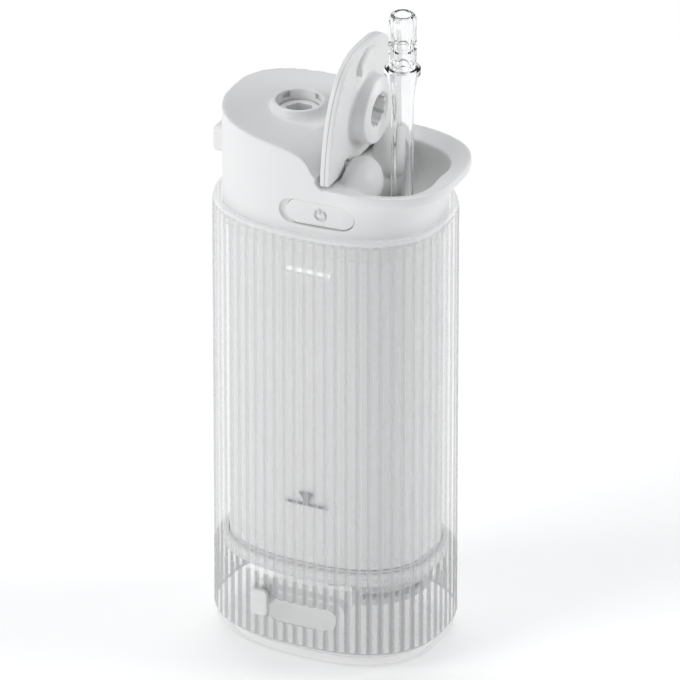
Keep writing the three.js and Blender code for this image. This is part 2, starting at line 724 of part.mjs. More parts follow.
// One level of the head: its own plan on the left, widening to the bowl's rim on the right.
function headRing(z, inset) {
  const count = 64;
  const flare = THREE.MathUtils.clamp((z - FLARE_START) / (FLARE_END - FLARE_START), 0, 1) ** 2;
  const ring = [];
  for (let i = 0; i < count; i++) {
    const angle = 2 * Math.PI * i / count;
    const plain = polarRadius(HEAD_HALF_X - inset, HEAD_HALF_Y - inset, PLAN_POWER, angle);
    const rim = polarRadius(RIM_HALF_X - inset, RIM_HALF_Y - inset, RIM_POWER, angle);
    const share = flare * smoothStep(FLARE_BLEND_FROM, FLARE_BLEND_TO, plain * Math.cos(angle));
    const radius = THREE.MathUtils.lerp(plain, rim, share);
    ring.push(new THREE.Vector3(radius * Math.cos(angle), radius * Math.sin(angle), z));
  }
  return ring;
}

function headColumn(inset, low) {
  const levels = [low, FLARE_START];
  const steps = 5;
  for (let i = 1; i <= steps; i++) levels.push(FLARE_START + (FLARE_END - FLARE_START) * i / steps);
  levels.push(HEAD_HIGH + HEAD_SPARE);
  return solidOf(loft(levels.map((z) => headRing(z, inset))));
}

// Everything under the head's top: a gentle slope, a steep shoulder, then the flat level of the rim.
function underTop(drop) {
  const profile = new THREE.Shape();
  profile.moveTo(-REACH, HEAD_BOTTOM - 2);
  profile.lineTo(REACH, HEAD_BOTTOM - 2);
  profile.lineTo(REACH, RIM_Z - drop);
  profile.lineTo(STEP_X - drop / 2, RIM_Z - drop);
  profile.splineThru([
    new THREE.Vector2(STEP_X - 3.5 - drop / 2, RIM_Z + 3.5 - drop / 2),
    new THREE.Vector2(STEP_X - 5.6 - drop / 2, RIM_Z + 6.8 - drop),
    new THREE.Vector2(STEP_X - 8.2, RIM_Z + 8.6 - drop),
    new THREE.Vector2(STEP_X - 13.6, RIM_Z + 9.9 - drop),
    new THREE.Vector2(STEP_X - 27.6, RIM_Z + 11.4 - drop),
    new THREE.Vector2(STEP_X - 37.6, HEAD_HIGH - drop),
  ]);
  profile.lineTo(-REACH, HEAD_HIGH - drop + 0.6);
  return facing(profile, 0, 0, -REACH, REACH, 3);
}

// One level of the bowl. On its left it is a trumpet that falls away from the hinge. Elsewhere a gently
// sloping band runs in from the lip to a crease, and a steep bowl goes down from there to the bay.
function bowlRing(share, grow, drop) {
  const count = 48;
  const ring = [];
  for (let i = 0; i < count; i++) {
    const angle = 2 * Math.PI * i / count;
    const edge = Math.min(rimReach(angle) - LIP_WIDTH, leftReach(angle));
    const trumpet = trumpetPoint(edge, share);
    const open = openPoint(edge, share, smoothStep(-0.6, 0.3, Math.sin(angle) + Math.cos(angle)));
    const point = trumpet.lerp(open, 1 - smoothStep(0.15, 0.5, -Math.cos(angle)));
    const radius = point.x + grow;
    const z = RIM_Z - point.y - drop;
    ring.push(new THREE.Vector3(BAY_X + radius * Math.cos(angle), radius * Math.sin(angle), z));
  }
  return ring;
}

// Radius and depth below the rim at a share of the way from the lip down to the bay.
function trumpetPoint(edge, share) {
  const turn = share * Math.PI / 2;
  return new THREE.Vector2(edge - (edge - BAY_RADIUS) * Math.sin(turn), FUNNEL_DEPTH * (1 - Math.cos(turn)));
}

function openPoint(edge, share, steep) {
  const crease = edge - BAND_WIDTH;
  if (share < BAND_SHARE) {
    const along = share / BAND_SHARE;
    return new THREE.Vector2(edge - BAND_WIDTH * along, BAND_DROP * along);
  }
  const turn = (share - BAND_SHARE) / (1 - BAND_SHARE) * Math.PI / 2;
  const straight = crease - (crease - BAY_RADIUS) * Math.sin(turn);
  const round = BAY_RADIUS + (crease - BAY_RADIUS) * Math.cos(turn);
  const depth = BAND_DROP + (FUNNEL_DEPTH - BAND_DROP) * Math.sin(turn);
  return new THREE.Vector2(THREE.MathUtils.lerp(straight, round, steep), depth);
}

function leftReach(angle) {
  const towardsLeft = -Math.cos(angle);
  return towardsLeft > 0 ? (BAY_X - FUNNEL_LEFT) / towardsLeft : Infinity;
}

// Distance from the bay's axis to the outside of the rim, found by halving.
function rimReach(angle) {
  let near = 0;
  let far = 2 * RIM_HALF_X;
  for (let i = 0; i < 30; i++) {
    const reach = (near + far) / 2;
    const x = BAY_X + reach * Math.cos(angle);
    const y = reach * Math.sin(angle);
    const inside = Math.abs(x / RIM_HALF_X) ** RIM_POWER + Math.abs(y / RIM_HALF_Y) ** RIM_POWER < 1;
    if (inside) near = reach;
    else far = reach;
  }
  return near;
}

function bowl(grow, drop) {
  const steps = 8;
  const rings = [];
  const throat = bowlRing(1, grow, drop);
  const bottom = RIM_Z - FUNNEL_DEPTH - THROAT_LENGTH - (grow > 0 ? 0 : 1);
  rings.push(throat.map((point) => new THREE.Vector3(point.x, point.y, bottom)));
  for (let i = steps; i >= 0; i--) rings.push(bowlRing(i / steps, grow, drop));
  const top = bowlRing(0, grow, drop);
  rings.push(top.map((point) => new THREE.Vector3(point.x, point.y, MOUND_TOP + 1)));
  return solidOf(loft(rings));
}

// Two domes beside the valley that runs from the hinge to the bay, clear of the open lid.
function hingeMounds() {
  const [halfX, halfY, halfZ] = MOUND_SIZE;
  const mounds = [-1, 1].map((side) => {
    const geometry = new THREE.SphereGeometry(1, 20, 12);
    geometry.scale(halfX, halfY, halfZ);
    geometry.translate(MOUND_X, side * MOUND_Y, MOUND_TOP - halfZ);
    return solidOf(geometry);
  });
  const beyondLid = box(HINGE_X + LID_HALF + MOUND_GAP, REACH, -REACH, REACH, RIM_Z - REACH, RIM_Z + REACH);
  return mounds[0].add(mounds[1]).intersect(beyondLid);
}

function hingeEars() {
  const inner = BARREL_HALF_LENGTH + RUNNING_GAP;
  const outer = inner + EAR_THICKNESS;
  const ears = [[-outer, -inner], [inner, outer]].map(([front, back]) => {
    const foot = box(HINGE_X - EAR_RADIUS, HINGE_X + EAR_RADIUS, front, back, EAR_FOOT_Z, HINGE_Z);
    return foot.add(crosswise(EAR_RADIUS, HINGE_X, HINGE_Z, front, back));
  });
  return ears[0].add(ears[1]);
}

function hingeClearance() {
  const corner = Math.hypot(LID_HALF, LID_HALF);
  const barrel = BARREL_HALF_LENGTH + RUNNING_GAP;
  const lid = crosswise(corner + RUNNING_GAP, HINGE_X, HINGE_Z, -REACH, REACH);
  const earZone = box(0, REACH, barrel - REACH, REACH - barrel, RIM_Z - REACH, RIM_Z + REACH);
  return lid.intersect(earZone);
}

function collar() {
  const blendSteps = 4;
  const shoulder = COLLAR_TOP - COLLAR_SHOULDER;
  const foot = [COLLAR_RADIUS + COLLAR_BLEND, COLLAR_TOP - COLLAR_FOOT];
  const profile = [[0, COLLAR_BOTTOM], [COLLAR_RADIUS, COLLAR_BOTTOM], foot];
  for (let i = 0; i <= blendSteps; i++) {
    const angle = Math.PI / 2 * i / blendSteps;
    const r = COLLAR_RADIUS + COLLAR_BLEND * (1 - Math.sin(angle));
    profile.push([r, shoulder - COLLAR_BLEND * Math.cos(angle)]);
  }
  profile.push([COLLAR_RADIUS - COLLAR_EDGE, COLLAR_TOP], [0, COLLAR_TOP]);
  return lathe(profile, SOCKET_X, 0, 36);
}

function collarSlots() {
  const slots = [];
  for (let i = 0; i < SLOT_COUNT; i++) {
    const geometry = new THREE.BoxGeometry(2 * SLOT_DEPTH, SLOT_WIDTH, SLOT_HEIGHT);
    geometry.translate(COLLAR_BORE, 0, COLLAR_TOP - SLOT_BELOW_TOP);
    geometry.rotateZ(THREE.MathUtils.degToRad(SLOT_FIRST_ANGLE + 360 * i / SLOT_COUNT));
    geometry.translate(SOCKET_X, 0, 0);
    slots.push(solidOf(geometry));
  }
  return slots;
}

function headShell() {
  const bowlOutside = bowl(FUNNEL_WALL, FUNNEL_UNDER);
  const inner = headColumn(HEAD_WALL, HEAD_BOTTOM - 1).intersect(underTop(HEAD_TOP_SKIN));
  const hollow = inner.subtract(bowlOutside);
  const throatEnd = RIM_Z - FUNNEL_DEPTH - THROAT_LENGTH;
  const throatRing = upright(BAY_RADIUS + FUNNEL_WALL, BAY_X, 0, throatEnd, throatEnd + THROAT_OVERLAP);
  let shell = headColumn(0, HEAD_BOTTOM).intersect(underTop(0)).subtract(hollow);
  shell = shell.add(throatRing).subtract(bowl(0, 0));
  shell = shell.add(hingeMounds().intersect(headColumn(HEAD_WALL, EAR_FOOT_Z - 2)));
  shell = shell.subtract(hingeClearance()).add(hingeEars());
  shell = shell.add(collar());
  shell = shell.subtract(upright(COLLAR_BORE, SOCKET_X, 0, COLLAR_BOTTOM - 1, COLLAR_TOP + 1, 36));
  collarSlots().forEach((slot) => {
    shell = shell.subtract(slot);
  });
  const bore = PIN_RADIUS + RUNNING_GAP;
  const pinReach = BARREL_HALF_LENGTH + RUNNING_GAP + EAR_THICKNESS + PIN_BORE_OVER;
  shell = shell.subtract(crosswise(bore, HINGE_X, HINGE_Z, -pinReach, pinReach, 16));
  const powerHole = stadium(POWER_WIDTH + 2 * POWER_GAP, POWER_HEIGHT + 2 * POWER_GAP);
  shell = shell.subtract(facing(powerHole, POWER_X, POWER_Z, -REACH, -HEAD_HALF_Y / 2));
  const releaseHole = roundedPlate(
    2 * (RELEASE_HALF_Y + RELEASE_GAP), RELEASE_HEIGHT + 2 * RELEASE_GAP, RELEASE_CORNER + RELEASE_GAP);
  shell = shell.subtract(sideways(releaseHole, 0, RELEASE_Z, -REACH, -HEAD_HALF_X / 2));
  const portHole = stadium(PORT_WIDTH + 2 * RUNNING_GAP, PORT_HEIGHT + 2 * RUNNING_GAP);
  shell = shell.subtract(facing(portHole, PORT_X, PORT_Z, HEAD_HALF_Y / 2, REACH));
  const recess = stadium(COVER_WIDTH + 2 * RUNNING_GAP, COVER_HEIGHT + 2 * RUNNING_GAP);
  return shell.subtract(facing(recess, PORT_X, PORT_Z, HEAD_HALF_Y - COVER_RECESS, REACH));
}

// ---------------------------------------------------------------- bowl contents and nozzle socket

function storageTube() {
  const top = RIM_Z - FUNNEL_DEPTH - THROAT_LENGTH - SEAM_GAP;
  const outside = upright(BAY_RADIUS + BAY_WALL, BAY_X, 0, BAY_BOTTOM, top);
  return outside.subtract(upright(BAY_RADIUS, BAY_X, 0, BAY_BOTTOM + BAY_WALL, top + 1));
}

function earTip() {
  const low = TIP_TOP - TIP_LENGTH;
  const flangeTop = TIP_TOP - TIP_CONNECTOR_LENGTH;
  const flangeLow = flangeTop - TIP_FLANGE_HEIGHT;
  const taperLow = flangeLow - TIP_TAPER_LENGTH;
  const boreLow = TIP_TOP - TIP_BORE_LENGTH;
  const groove = TIP_TOP - 9.6;
  return lathe([
    [TIP_JET_RADIUS, low],
    [TIP_SHAFT_RADIUS - 1.1, low],
    [TIP_SHAFT_RADIUS - 0.5, low + 1],
    [TIP_SHAFT_RADIUS, low + 12],
    [TIP_SHAFT_RADIUS, taperLow],
    [TIP_SHAFT_RADIUS + 0.5, taperLow + TIP_TAPER_LENGTH / 3],
    [TIP_FLANGE_RADIUS - 0.6, flangeLow],
    [TIP_FLANGE_RADIUS, flangeLow + 0.3],
    [TIP_FLANGE_RADIUS, flangeTop - 0.3],
    [TIP_FLANGE_RADIUS - 0.3, flangeTop],
    [TIP_CONNECTOR_RADIUS, flangeTop],
    [TIP_CONNECTOR_RADIUS, groove - 0.6],
    [TIP_CONNECTOR_RADIUS - 0.5, groove - 0.3],
    [TIP_CONNECTOR_RADIUS - 0.5, groove + 0.3],
    [TIP_CONNECTOR_RADIUS, groove + 0.6],
    [TIP_CONNECTOR_RADIUS, TIP_TOP - 1],
    [TIP_CONNECTOR_RADIUS - 0.6, TIP_TOP],
    [TIP_BORE_RADIUS, TIP_TOP],
    [TIP_BORE_RADIUS, boreLow + 3.5],
    [TIP_JET_RADIUS, boreLow],
    [TIP_JET_RADIUS, low],
  ], BAY_X, 0, 24);
}

function nozzleSocket() {
  const bottom = COLLAR_BOTTOM + SEAM_GAP;
  const outside = upright(COLLAR_BORE - RUNNING_GAP, SOCKET_X, 0, bottom, SOCKET_TOP, 40)
    .add(upright(NIPPLE_RADIUS, SOCKET_X, 0, bottom - SOCKET_STUB_LENGTH, bottom + 1, 20));
  const hexagon = upright(HEX_RADIUS, SOCKET_X, 0, SOCKET_TOP - HEX_DEPTH, SOCKET_TOP + 1, 6, Math.PI / 6);
  const bore = upright(NIPPLE_BORE, SOCKET_X, 0, bottom - SOCKET_STUB_LENGTH - 1, SOCKET_TOP, 16);
  return outside.subtract(hexagon).subtract(bore);
}

function socketSeal() {
  const major = HEX_RADIUS * Math.cos(Math.PI / 6) - SEAL_CORD_RADIUS - RUNNING_GAP;
  const geometry = new THREE.TorusGeometry(major, SEAL_CORD_RADIUS, 6, 18);
  geometry.translate(SOCKET_X, 0, SOCKET_TOP - HEX_DEPTH + SEAL_CORD_RADIUS + RUNNING_GAP);
  return geometry;
}

// ---------------------------------------------------------------- lid, around its hinge pin

function lidPlan(inset, low, high) {
  return planSolid(LID_END_X - inset, LID_HALF_Y - inset, low, high, 96, LID_POWER)
    .intersect(box(HINGE_X - LID_HALF, REACH, -REACH, REACH, low - 1, high + 1))
    .translate([-HINGE_X, 0, 0]);
}

function earRelief(halfLength) {
  const reach = EAR_RADIUS + EAR_RELIEF;
  return box(-REACH, reach, -halfLength, halfLength, -REACH, REACH);
}

function lidCover() {
  const ears = BARREL_HALF_LENGTH + 2 * RUNNING_GAP + EAR_THICKNESS;
  return lidPlan(0, LID_SPLIT, LID_HALF).subtract(earRelief(ears));
}

function lidLiner() {
  const ears = BARREL_HALF_LENGTH + 2 * RUNNING_GAP + EAR_THICKNESS;
  const arms = box(0, EAR_RADIUS + ARM_REACH, -BARREL_HALF_LENGTH, BARREL_HALF_LENGTH, -LID_HALF, -LID_SPLIT);
  const bossLow = -LID_HALF - LID_BOSS_HEIGHT;
  const padEnd = LID_END_X - HINGE_X - LID_PAD_MARGIN;
  const padTop = -LID_HALF - LID_PAD_HEIGHT;
  const pad = box(LID_PAD_REACH, REACH, -LID_PAD_HALF_Y, LID_PAD_HALF_Y, padTop, -LID_HALF + 0.1)
    .intersect(upright(LID_PAD_RADIUS, padEnd - LID_PAD_RADIUS, 0, -REACH, REACH));
  let liner = lidPlan(LID_LINER_INSET, -LID_HALF, -LID_SPLIT).subtract(earRelief(ears));
  liner = liner.add(arms).add(crosswise(LID_HALF, 0, 0, -BARREL_HALF_LENGTH, BARREL_HALF_LENGTH));
  liner = liner.add(upright(LID_BOSS_RADIUS, LID_BOSS_REACH, 0, bossLow, -LID_SPLIT, 40)).add(pad);
  liner = liner.subtract(upright(LID_HOLE_RADIUS, LID_BOSS_REACH, 0, bossLow - 1, -LID_HALF, 6, Math.PI / 6));
  return liner.subtract(crosswise(PIN_RADIUS + RUNNING_GAP, 0, 0, -REACH, REACH, 16));
}

// ---------------------------------------------------------------- controls and charging port

function headPlan(inset) {
  return planSolid(HEAD_HALF_X - inset, HEAD_HALF_Y - inset, HEAD_BOTTOM, RIM_Z);
}

// The button's face and its flange both follow the curve of the wall.
function powerButton() {
  const flangeFront = HEAD_WALL + POWER_FLANGE_GAP;
  const flangeBack = headPlan(flangeFront + POWER_FLANGE_THICKNESS);
  const plate = facing(stadium(POWER_WIDTH, POWER_HEIGHT), POWER_X, POWER_Z, -REACH, 0);
  const face = plate.intersect(headPlan(POWER_SINK));
  const wide = stadium(POWER_WIDTH + 2 * POWER_FLANGE, POWER_HEIGHT + 2 * POWER_FLANGE);
  const flange = facing(wide, POWER_X, POWER_Z, -REACH, 0).intersect(headPlan(flangeFront));
  const stem = crosswise(POWER_STEM_RADIUS, POWER_X, POWER_Z, 2 - HEAD_HALF_Y, POWER_STEM_END, 20);
  return face.add(flange).subtract(flangeBack).add(stem);
}

function powerSwitch() {
  const half = SWITCH_SIZE / 2;
  const front = POWER_STEM_END + POWER_TRAVEL_GAP;
  const back = BOARD_Y - SEAM_GAP;
  return box(POWER_X - half, POWER_X + half, front, back, POWER_Z - half, POWER_Z + half);
}

function releaseButton() {
  const plate = roundedPlate(2 * RELEASE_HALF_Y, RELEASE_HEIGHT, RELEASE_CORNER);
  return sideways(plate, 0, RELEASE_Z, -HEAD_HALF_X - RELEASE_OUT, -HEAD_HALF_X + RELEASE_IN);
}

function releaseLatch() {
  const start = -HEAD_HALF_X + RELEASE_IN + SEAM_GAP;
  const end = SOCKET_X - NIPPLE_RADIUS - LATCH_SHORT;
  const low = COLLAR_BOTTOM - LATCH_DROP;
  const bar = box(start, end, -LATCH_HALF_Y, LATCH_HALF_Y, low, low + LATCH_THICKNESS);
  const wide = LATCH_PLATE_HALF_Y;
  return bar.add(box(start, start + LATCH_THICKNESS, -wide, wide, low - 0.5, low + LATCH_PLATE_HEIGHT));
}

function chargingPort() {
  const back = HEAD_HALF_Y - COVER_RECESS - PORT_SETBACK;
  const front = back - PORT_DEPTH;
  const outside = facing(stadium(PORT_WIDTH, PORT_HEIGHT), PORT_X, PORT_Z, front, back, 6);
  const cavity = stadium(PORT_WIDTH - 2 * PORT_WALL, PORT_HEIGHT - 2 * PORT_WALL);
  return outside.subtract(facing(cavity, PORT_X, PORT_Z, front + PORT_END_WALL, back + 1, 6));
}

function portCover() {
  const inner = HEAD_HALF_Y - COVER_RECESS + SEAM_GAP;
  return facing(stadium(COVER_WIDTH, COVER_HEIGHT), PORT_X, PORT_Z, inner, inner + COVER_THICKNESS);
}

// ---------------------------------------------------------------- drive and pump

function toothedWheel(teeth, phase, x, front, back) {
  const pitch = GEAR_MODULE * teeth / 2;
  const tip = pitch + 0.62 * GEAR_MODULE;
  const root = pitch - 1.05 * GEAR_MODULE;
  const step = 2 * Math.PI / teeth;
  const points = [];
  for (let i = 0; i < teeth; i++) {
    const centre = phase + i * step;
    [[-0.31, root], [-0.12, tip], [0.12, tip], [0.31, root]].forEach(([share, radius]) => {
      const angle = centre + share * step;
      points.push([radius * Math.cos(angle), radius * Math.sin(angle)]);
    });
  }
  return facing(polygon(points), x, GEAR_Z, front, back);
}

function motorPinion() {
  const mesh = toothedWheel(PINION_TEETH, 0, MOTOR_X, GEAR_Y, GEAR_Y + GEAR_WIDTH);
  const shaftEnd = GEAR_Y + GEAR_WIDTH + SHAFT_OVER;
  return mesh.add(crosswise(SHAFT_RADIUS, MOTOR_X, GEAR_Z, MOTOR_FACE_Y + RUNNING_GAP, shaftEnd, 16));
}

function driveGear() {
  const back = GEAR_Y + GEAR_WIDTH;
  const phase = Math.PI + Math.PI / GEAR_TEETH;
  const wheel = toothedWheel(GEAR_TEETH, phase, GEAR_X, GEAR_Y, back);
  const pinZ = GEAR_Z + CRANK_RADIUS;
  const pin = crosswise(CRANK_PIN_RADIUS, GEAR_X, pinZ, back - 1, back + CRANK_PIN_LENGTH, 16);
  return wheel.add(pin).subtract(crosswise(AXLE_RADIUS + RUNNING_GAP, GEAR_X, GEAR_Z, 0, back + 0.5, 16));
}

function rodPlane() {
  return GEAR_Y + GEAR_WIDTH + CRANK_PIN_LENGTH + RUNNING_GAP;
}

function pumpY() {
  return rodPlane() + ROD_THICKNESS / 2;
}

function wristZ() {
  return GEAR_Z + CRANK_RADIUS + ROD_LENGTH;
}

function connectingRod() {
  const front = rodPlane();
  const back = front + ROD_THICKNESS;
  const low = GEAR_Z + CRANK_RADIUS;
  const half = ROD_BAR_WIDTH / 2;
  const blank = box(GEAR_X - half, GEAR_X + half, front, back, low, wristZ())
    .add(crosswise(ROD_BIG_RADIUS, GEAR_X, low, front, back))
    .add(crosswise(ROD_SMALL_RADIUS, GEAR_X, wristZ(), front, back));
  return blank.subtract(crosswise(CRANK_PIN_RADIUS + RUNNING_GAP, GEAR_X, low, front - 1, back + 1, 16))
    .subtract(crosswise(WRIST_PIN_RADIUS + RUNNING_GAP, GEAR_X, wristZ(), front - 1, back + 1, 16));
}

function piston() {
  const low = wristZ() - PISTON_SKIRT;
  const body = upright(PISTON_RADIUS, GEAR_X, pumpY(), low, wristZ() + PISTON_CROWN);
  const slotHalf = ROD_THICKNESS / 2 + RUNNING_GAP;
  const slotTop = wristZ() + ROD_SMALL_RADIUS + RUNNING_GAP;
  const slot = box(-REACH, REACH, pumpY() - slotHalf, pumpY() + slotHalf, low - 1, slotTop);
  const bore = crosswise(WRIST_PIN_RADIUS + RUNNING_GAP, GEAR_X, wristZ(), 0, REACH, 16);
  return body.subtract(slot).subtract(bore);
}

function wristPin() {
  const half = PISTON_RADIUS - WRIST_PIN_INSET;
  return crosswise(WRIST_PIN_RADIUS, GEAR_X, wristZ(), pumpY() - half, pumpY() + half, 16);
}

function pumpCylinder() {
  const bore = PISTON_RADIUS + RUNNING_GAP;
  const outside = upright(bore + CYLINDER_WALL, GEAR_X, pumpY(), CYLINDER_BOTTOM, CYLINDER_TOP)
    .add(upright(NIPPLE_RADIUS, GEAR_X, pumpY(), CYLINDER_TOP - 1, CYLINDER_TOP + NIPPLE_LENGTH, 20));
  const inletZ = CYLINDER_TOP - INLET_BELOW_TOP;
  const inletEnd = GEAR_X + bore + CYLINDER_WALL + INLET_LENGTH;
  const circle = new THREE.Shape();
  circle.absarc(0, 0, NIPPLE_RADIUS, 0, 2 * Math.PI, false);
  const hole = new THREE.Shape();
  hole.absarc(0, 0, NIPPLE_BORE, 0, 2 * Math.PI, false);
  return outside.add(sideways(circle, pumpY(), inletZ, GEAR_X + bore + 0.5, inletEnd))
    .subtract(upright(bore, GEAR_X, pumpY(), CYLINDER_BOTTOM - 1, CYLINDER_TOP - CYLINDER_WALL))
    .subtract(upright(NIPPLE_BORE, GEAR_X, pumpY(), CYLINDER_TOP - 3, CYLINDER_TOP + NIPPLE_LENGTH + 1, 16))
    .subtract(sideways(hole, pumpY(), inletZ, GEAR_X, inletEnd + 1));
}

function pumpFrame() {
  const back = FRAME_Y + FRAME_THICKNESS;
  const left = GEAR_X - FRAME_LEFT;
  const right = GEAR_X + FRAME_RIGHT;
  const plate = box(left, right, FRAME_Y, back, CAP_FLOOR_TOP + SEAM_GAP, CYLINDER_TOP);
  const footLow = CAP_FLOOR_TOP + SEAM_GAP;
  const footTop = CAP_FLOOR_TOP + FRAME_FOOT_TOP;
  const foot = box(left, right, FRAME_Y, FRAME_Y + FRAME_FOOT, footLow, footTop);
  return plate.add(foot).subtract(crosswise(AXLE_RADIUS + RUNNING_GAP, GEAR_X, GEAR_Z, 0, REACH, 16));
}

function motor() {
  const can = crosswise(MOTOR_RADIUS, MOTOR_X, GEAR_Z, MOTOR_FACE_Y - MOTOR_LENGTH, MOTOR_FACE_Y - 1, 28);
  const face = crosswise(MOTOR_RADIUS - 1, MOTOR_X, GEAR_Z, MOTOR_FACE_Y - 2, MOTOR_FACE_Y, 28);
  const end = MOTOR_FACE_Y - MOTOR_LENGTH;
  const bush = crosswise(MOTOR_BUSH_RADIUS, MOTOR_X, GEAR_Z, end - MOTOR_BUSH_LENGTH, end + 1, 20);
  return can.add(face).add(bush);
}

function gearAxle() {
  return crosswise(AXLE_RADIUS, GEAR_X, GEAR_Z, FRAME_Y - 0.6, GEAR_Y + GEAR_WIDTH + 0.3, 16);
}

function intakeHose() {
  const inletX = GEAR_X + PISTON_RADIUS + RUNNING_GAP + CYLINDER_WALL + INLET_LENGTH + SEAM_GAP;
  const inletZ = CYLINDER_TOP - INLET_BELOW_TOP;
  return hose([
    [INTAKE_X, INTAKE_Y, CAP_FLOOR_TOP + NIPPLE_LENGTH + SEAM_GAP],
    [INTAKE_X, INTAKE_Y, 35],
    [INTAKE_X, -1, 48],
    [17.5, 8.6, 59],
    [16, pumpY() + 0.6, 70],
    [14.6, pumpY() + 0.3, inletZ - 3.4],
    [inletX + 2, pumpY(), inletZ - 0.1],
    [inletX, pumpY(), inletZ],
  ]);
}

function outletHose() {
  const low = CYLINDER_TOP + NIPPLE_LENGTH + SEAM_GAP;
  const high = COLLAR_BOTTOM - SOCKET_STUB_LENGTH;
  return hose([
    [GEAR_X, pumpY(), low],
    [GEAR_X, pumpY(), low + 7],
    [-2.5, 7.5, high - 29.8],
    [-8.5, 2, high - 13.8],
    [SOCKET_X, 0, high - 5],
    [SOCKET_X, 0, high],
  ]);
}

// ---------------------------------------------------------------- battery and board

function battery() {
  const top = BATTERY_BOTTOM + BATTERY_LENGTH;
  return upright(BATTERY_RADIUS, BATTERY_X, BATTERY_Y, BATTERY_BOTTOM, top - BATTERY_CAP_HEIGHT)
    .add(upright(BATTERY_CAP_RADIUS, BATTERY_X, BATTERY_Y, top - 2, top, 20));
}

function board() {
  const half = BOARD_WIDTH / 2;
  const back = BOARD_Y + BOARD_THICKNESS;
  return box(BOARD_X - half, BOARD_X + half, BOARD_Y, back, BOARD_BOTTOM, BOARD_TOP);
}

// ---------------------------------------------------------------- assembly

function place(name, solid, look, parent = assembly) {
  return add(name, geometryOf(solid), look, parent);
}

place('reservoir', reservoir(), MATERIALS.clearTank);
place('fill_plug', fillPlug(), MATERIALS.silicone);

place('body_shell', bodyShell(), MATERIALS.body);
place('bottom_cap', bottomCap(), MATERIALS.body);
place('seal_ring', sealRing(), MATERIALS.silicone);
place('intake_housing', intakeHousing(), MATERIALS.body);
place('intake_filter', intakeFilter(), MATERIALS.filter);
SCREW_PLACES.forEach((spot, i) => place(`cap_screw_${i + 1}`, capScrew(spot), MATERIALS.steel));
place('indicator_light', indicatorLight(), MATERIALS.light);
place('level_line', levelLine(), MATERIALS.mark);
place('level_triangle', levelTriangle(), MATERIALS.mark);

place('head_shell', headShell(), MATERIALS.head);
place('nozzle_socket', nozzleSocket(), MATERIALS.head);
add('socket_seal', socketSeal(), MATERIALS.seal);
place('storage_tube', storageTube(), MATERIALS.body);
place('hinge_pin', crosswise(PIN_RADIUS, HINGE_X, HINGE_Z, -BARREL_HALF_LENGTH - EAR_THICKNESS,
  BARREL_HALF_LENGTH + EAR_THICKNESS, 16), MATERIALS.steel);
place('power_button', powerButton(), MATERIALS.head);
place('power_switch', powerSwitch(), MATERIALS.gear);
place('release_button', releaseButton(), MATERIALS.head);
place('release_latch', releaseLatch(), MATERIALS.gear);
place('charging_port', chargingPort(), MATERIALS.steel);
place('port_cover', portCover(), MATERIALS.silicone);

const lid = new THREE.Group();
lid.name = 'lid';
lid.position.set(HINGE_X, 0, HINGE_Z);
lid.rotation.y = -THREE.MathUtils.degToRad(LID_OPEN_DEG);
assembly.add(lid);
place('lid_cover', lidCover(), MATERIALS.head, lid);
place('lid_liner', lidLiner(), MATERIALS.head, lid);

place('ear_tip', earTip(), MATERIALS.clearTip);

place('motor', motor(), MATERIALS.can);
place('motor_pinion', motorPinion(), MATERIALS.gear);
place('drive_gear', driveGear(), MATERIALS.gear);
place('gear_axle', gearAxle(), MATERIALS.steel);
place('pump_frame', pumpFrame(), MATERIALS.body);
place('connecting_rod', connectingRod(), MATERIALS.gear);
place('wrist_pin', wristPin(), MATERIALS.steel);
place('piston', piston(), MATERIALS.gear);
place('pump_cylinder', pumpCylinder(), MATERIALS.body);
add('intake_hose', intakeHose(), MATERIALS.silicone);
add('outlet_hose', outletHose(), MATERIALS.silicone);
place('battery', battery(), MATERIALS.wrap);
place('circuit_board', board(), MATERIALS.board);

export default assembly;
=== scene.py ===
"""Portable ear irrigator: ribbed reservoir, telescoping white unit, storage bowl with lid, clear ear tip."""

import math

import bmesh
import bpy
from mathutils import Matrix, Vector


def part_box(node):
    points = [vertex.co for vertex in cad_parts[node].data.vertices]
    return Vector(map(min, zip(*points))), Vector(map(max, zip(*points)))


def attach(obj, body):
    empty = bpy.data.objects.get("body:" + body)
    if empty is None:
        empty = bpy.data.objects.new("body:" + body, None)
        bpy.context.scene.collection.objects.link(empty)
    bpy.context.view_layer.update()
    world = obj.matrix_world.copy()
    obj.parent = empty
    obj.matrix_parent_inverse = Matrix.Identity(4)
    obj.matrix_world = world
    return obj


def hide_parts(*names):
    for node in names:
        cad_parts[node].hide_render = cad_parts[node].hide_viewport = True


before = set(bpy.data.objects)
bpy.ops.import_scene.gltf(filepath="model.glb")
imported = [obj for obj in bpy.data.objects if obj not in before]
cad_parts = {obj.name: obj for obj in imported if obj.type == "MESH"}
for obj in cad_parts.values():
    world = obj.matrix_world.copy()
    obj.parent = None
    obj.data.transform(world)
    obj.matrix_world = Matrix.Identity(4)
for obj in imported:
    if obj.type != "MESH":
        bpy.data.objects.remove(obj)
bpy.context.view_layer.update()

bl_info = {
    "name": "Ear irrigator",
    "version": (1, 0, 0),
    "blender": (4, 5, 0),
    "location": "View3D > Sidebar > Irrigator",
    "description": "Builds a portable ear irrigator around its packed frame",
    "category": "Object",
}

MM = 0.001
PLAN_POWER = 2.5
RIM_POWER = 3.0
LID_POWER = 2.8
LID_OPEN = math.radians(88)
QUARTER = math.pi / 2
FAR = 0.06
AXIS = 0.001 * MM


def edges(node):
    """Lowest and highest corner of a frame node."""
    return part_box(node)


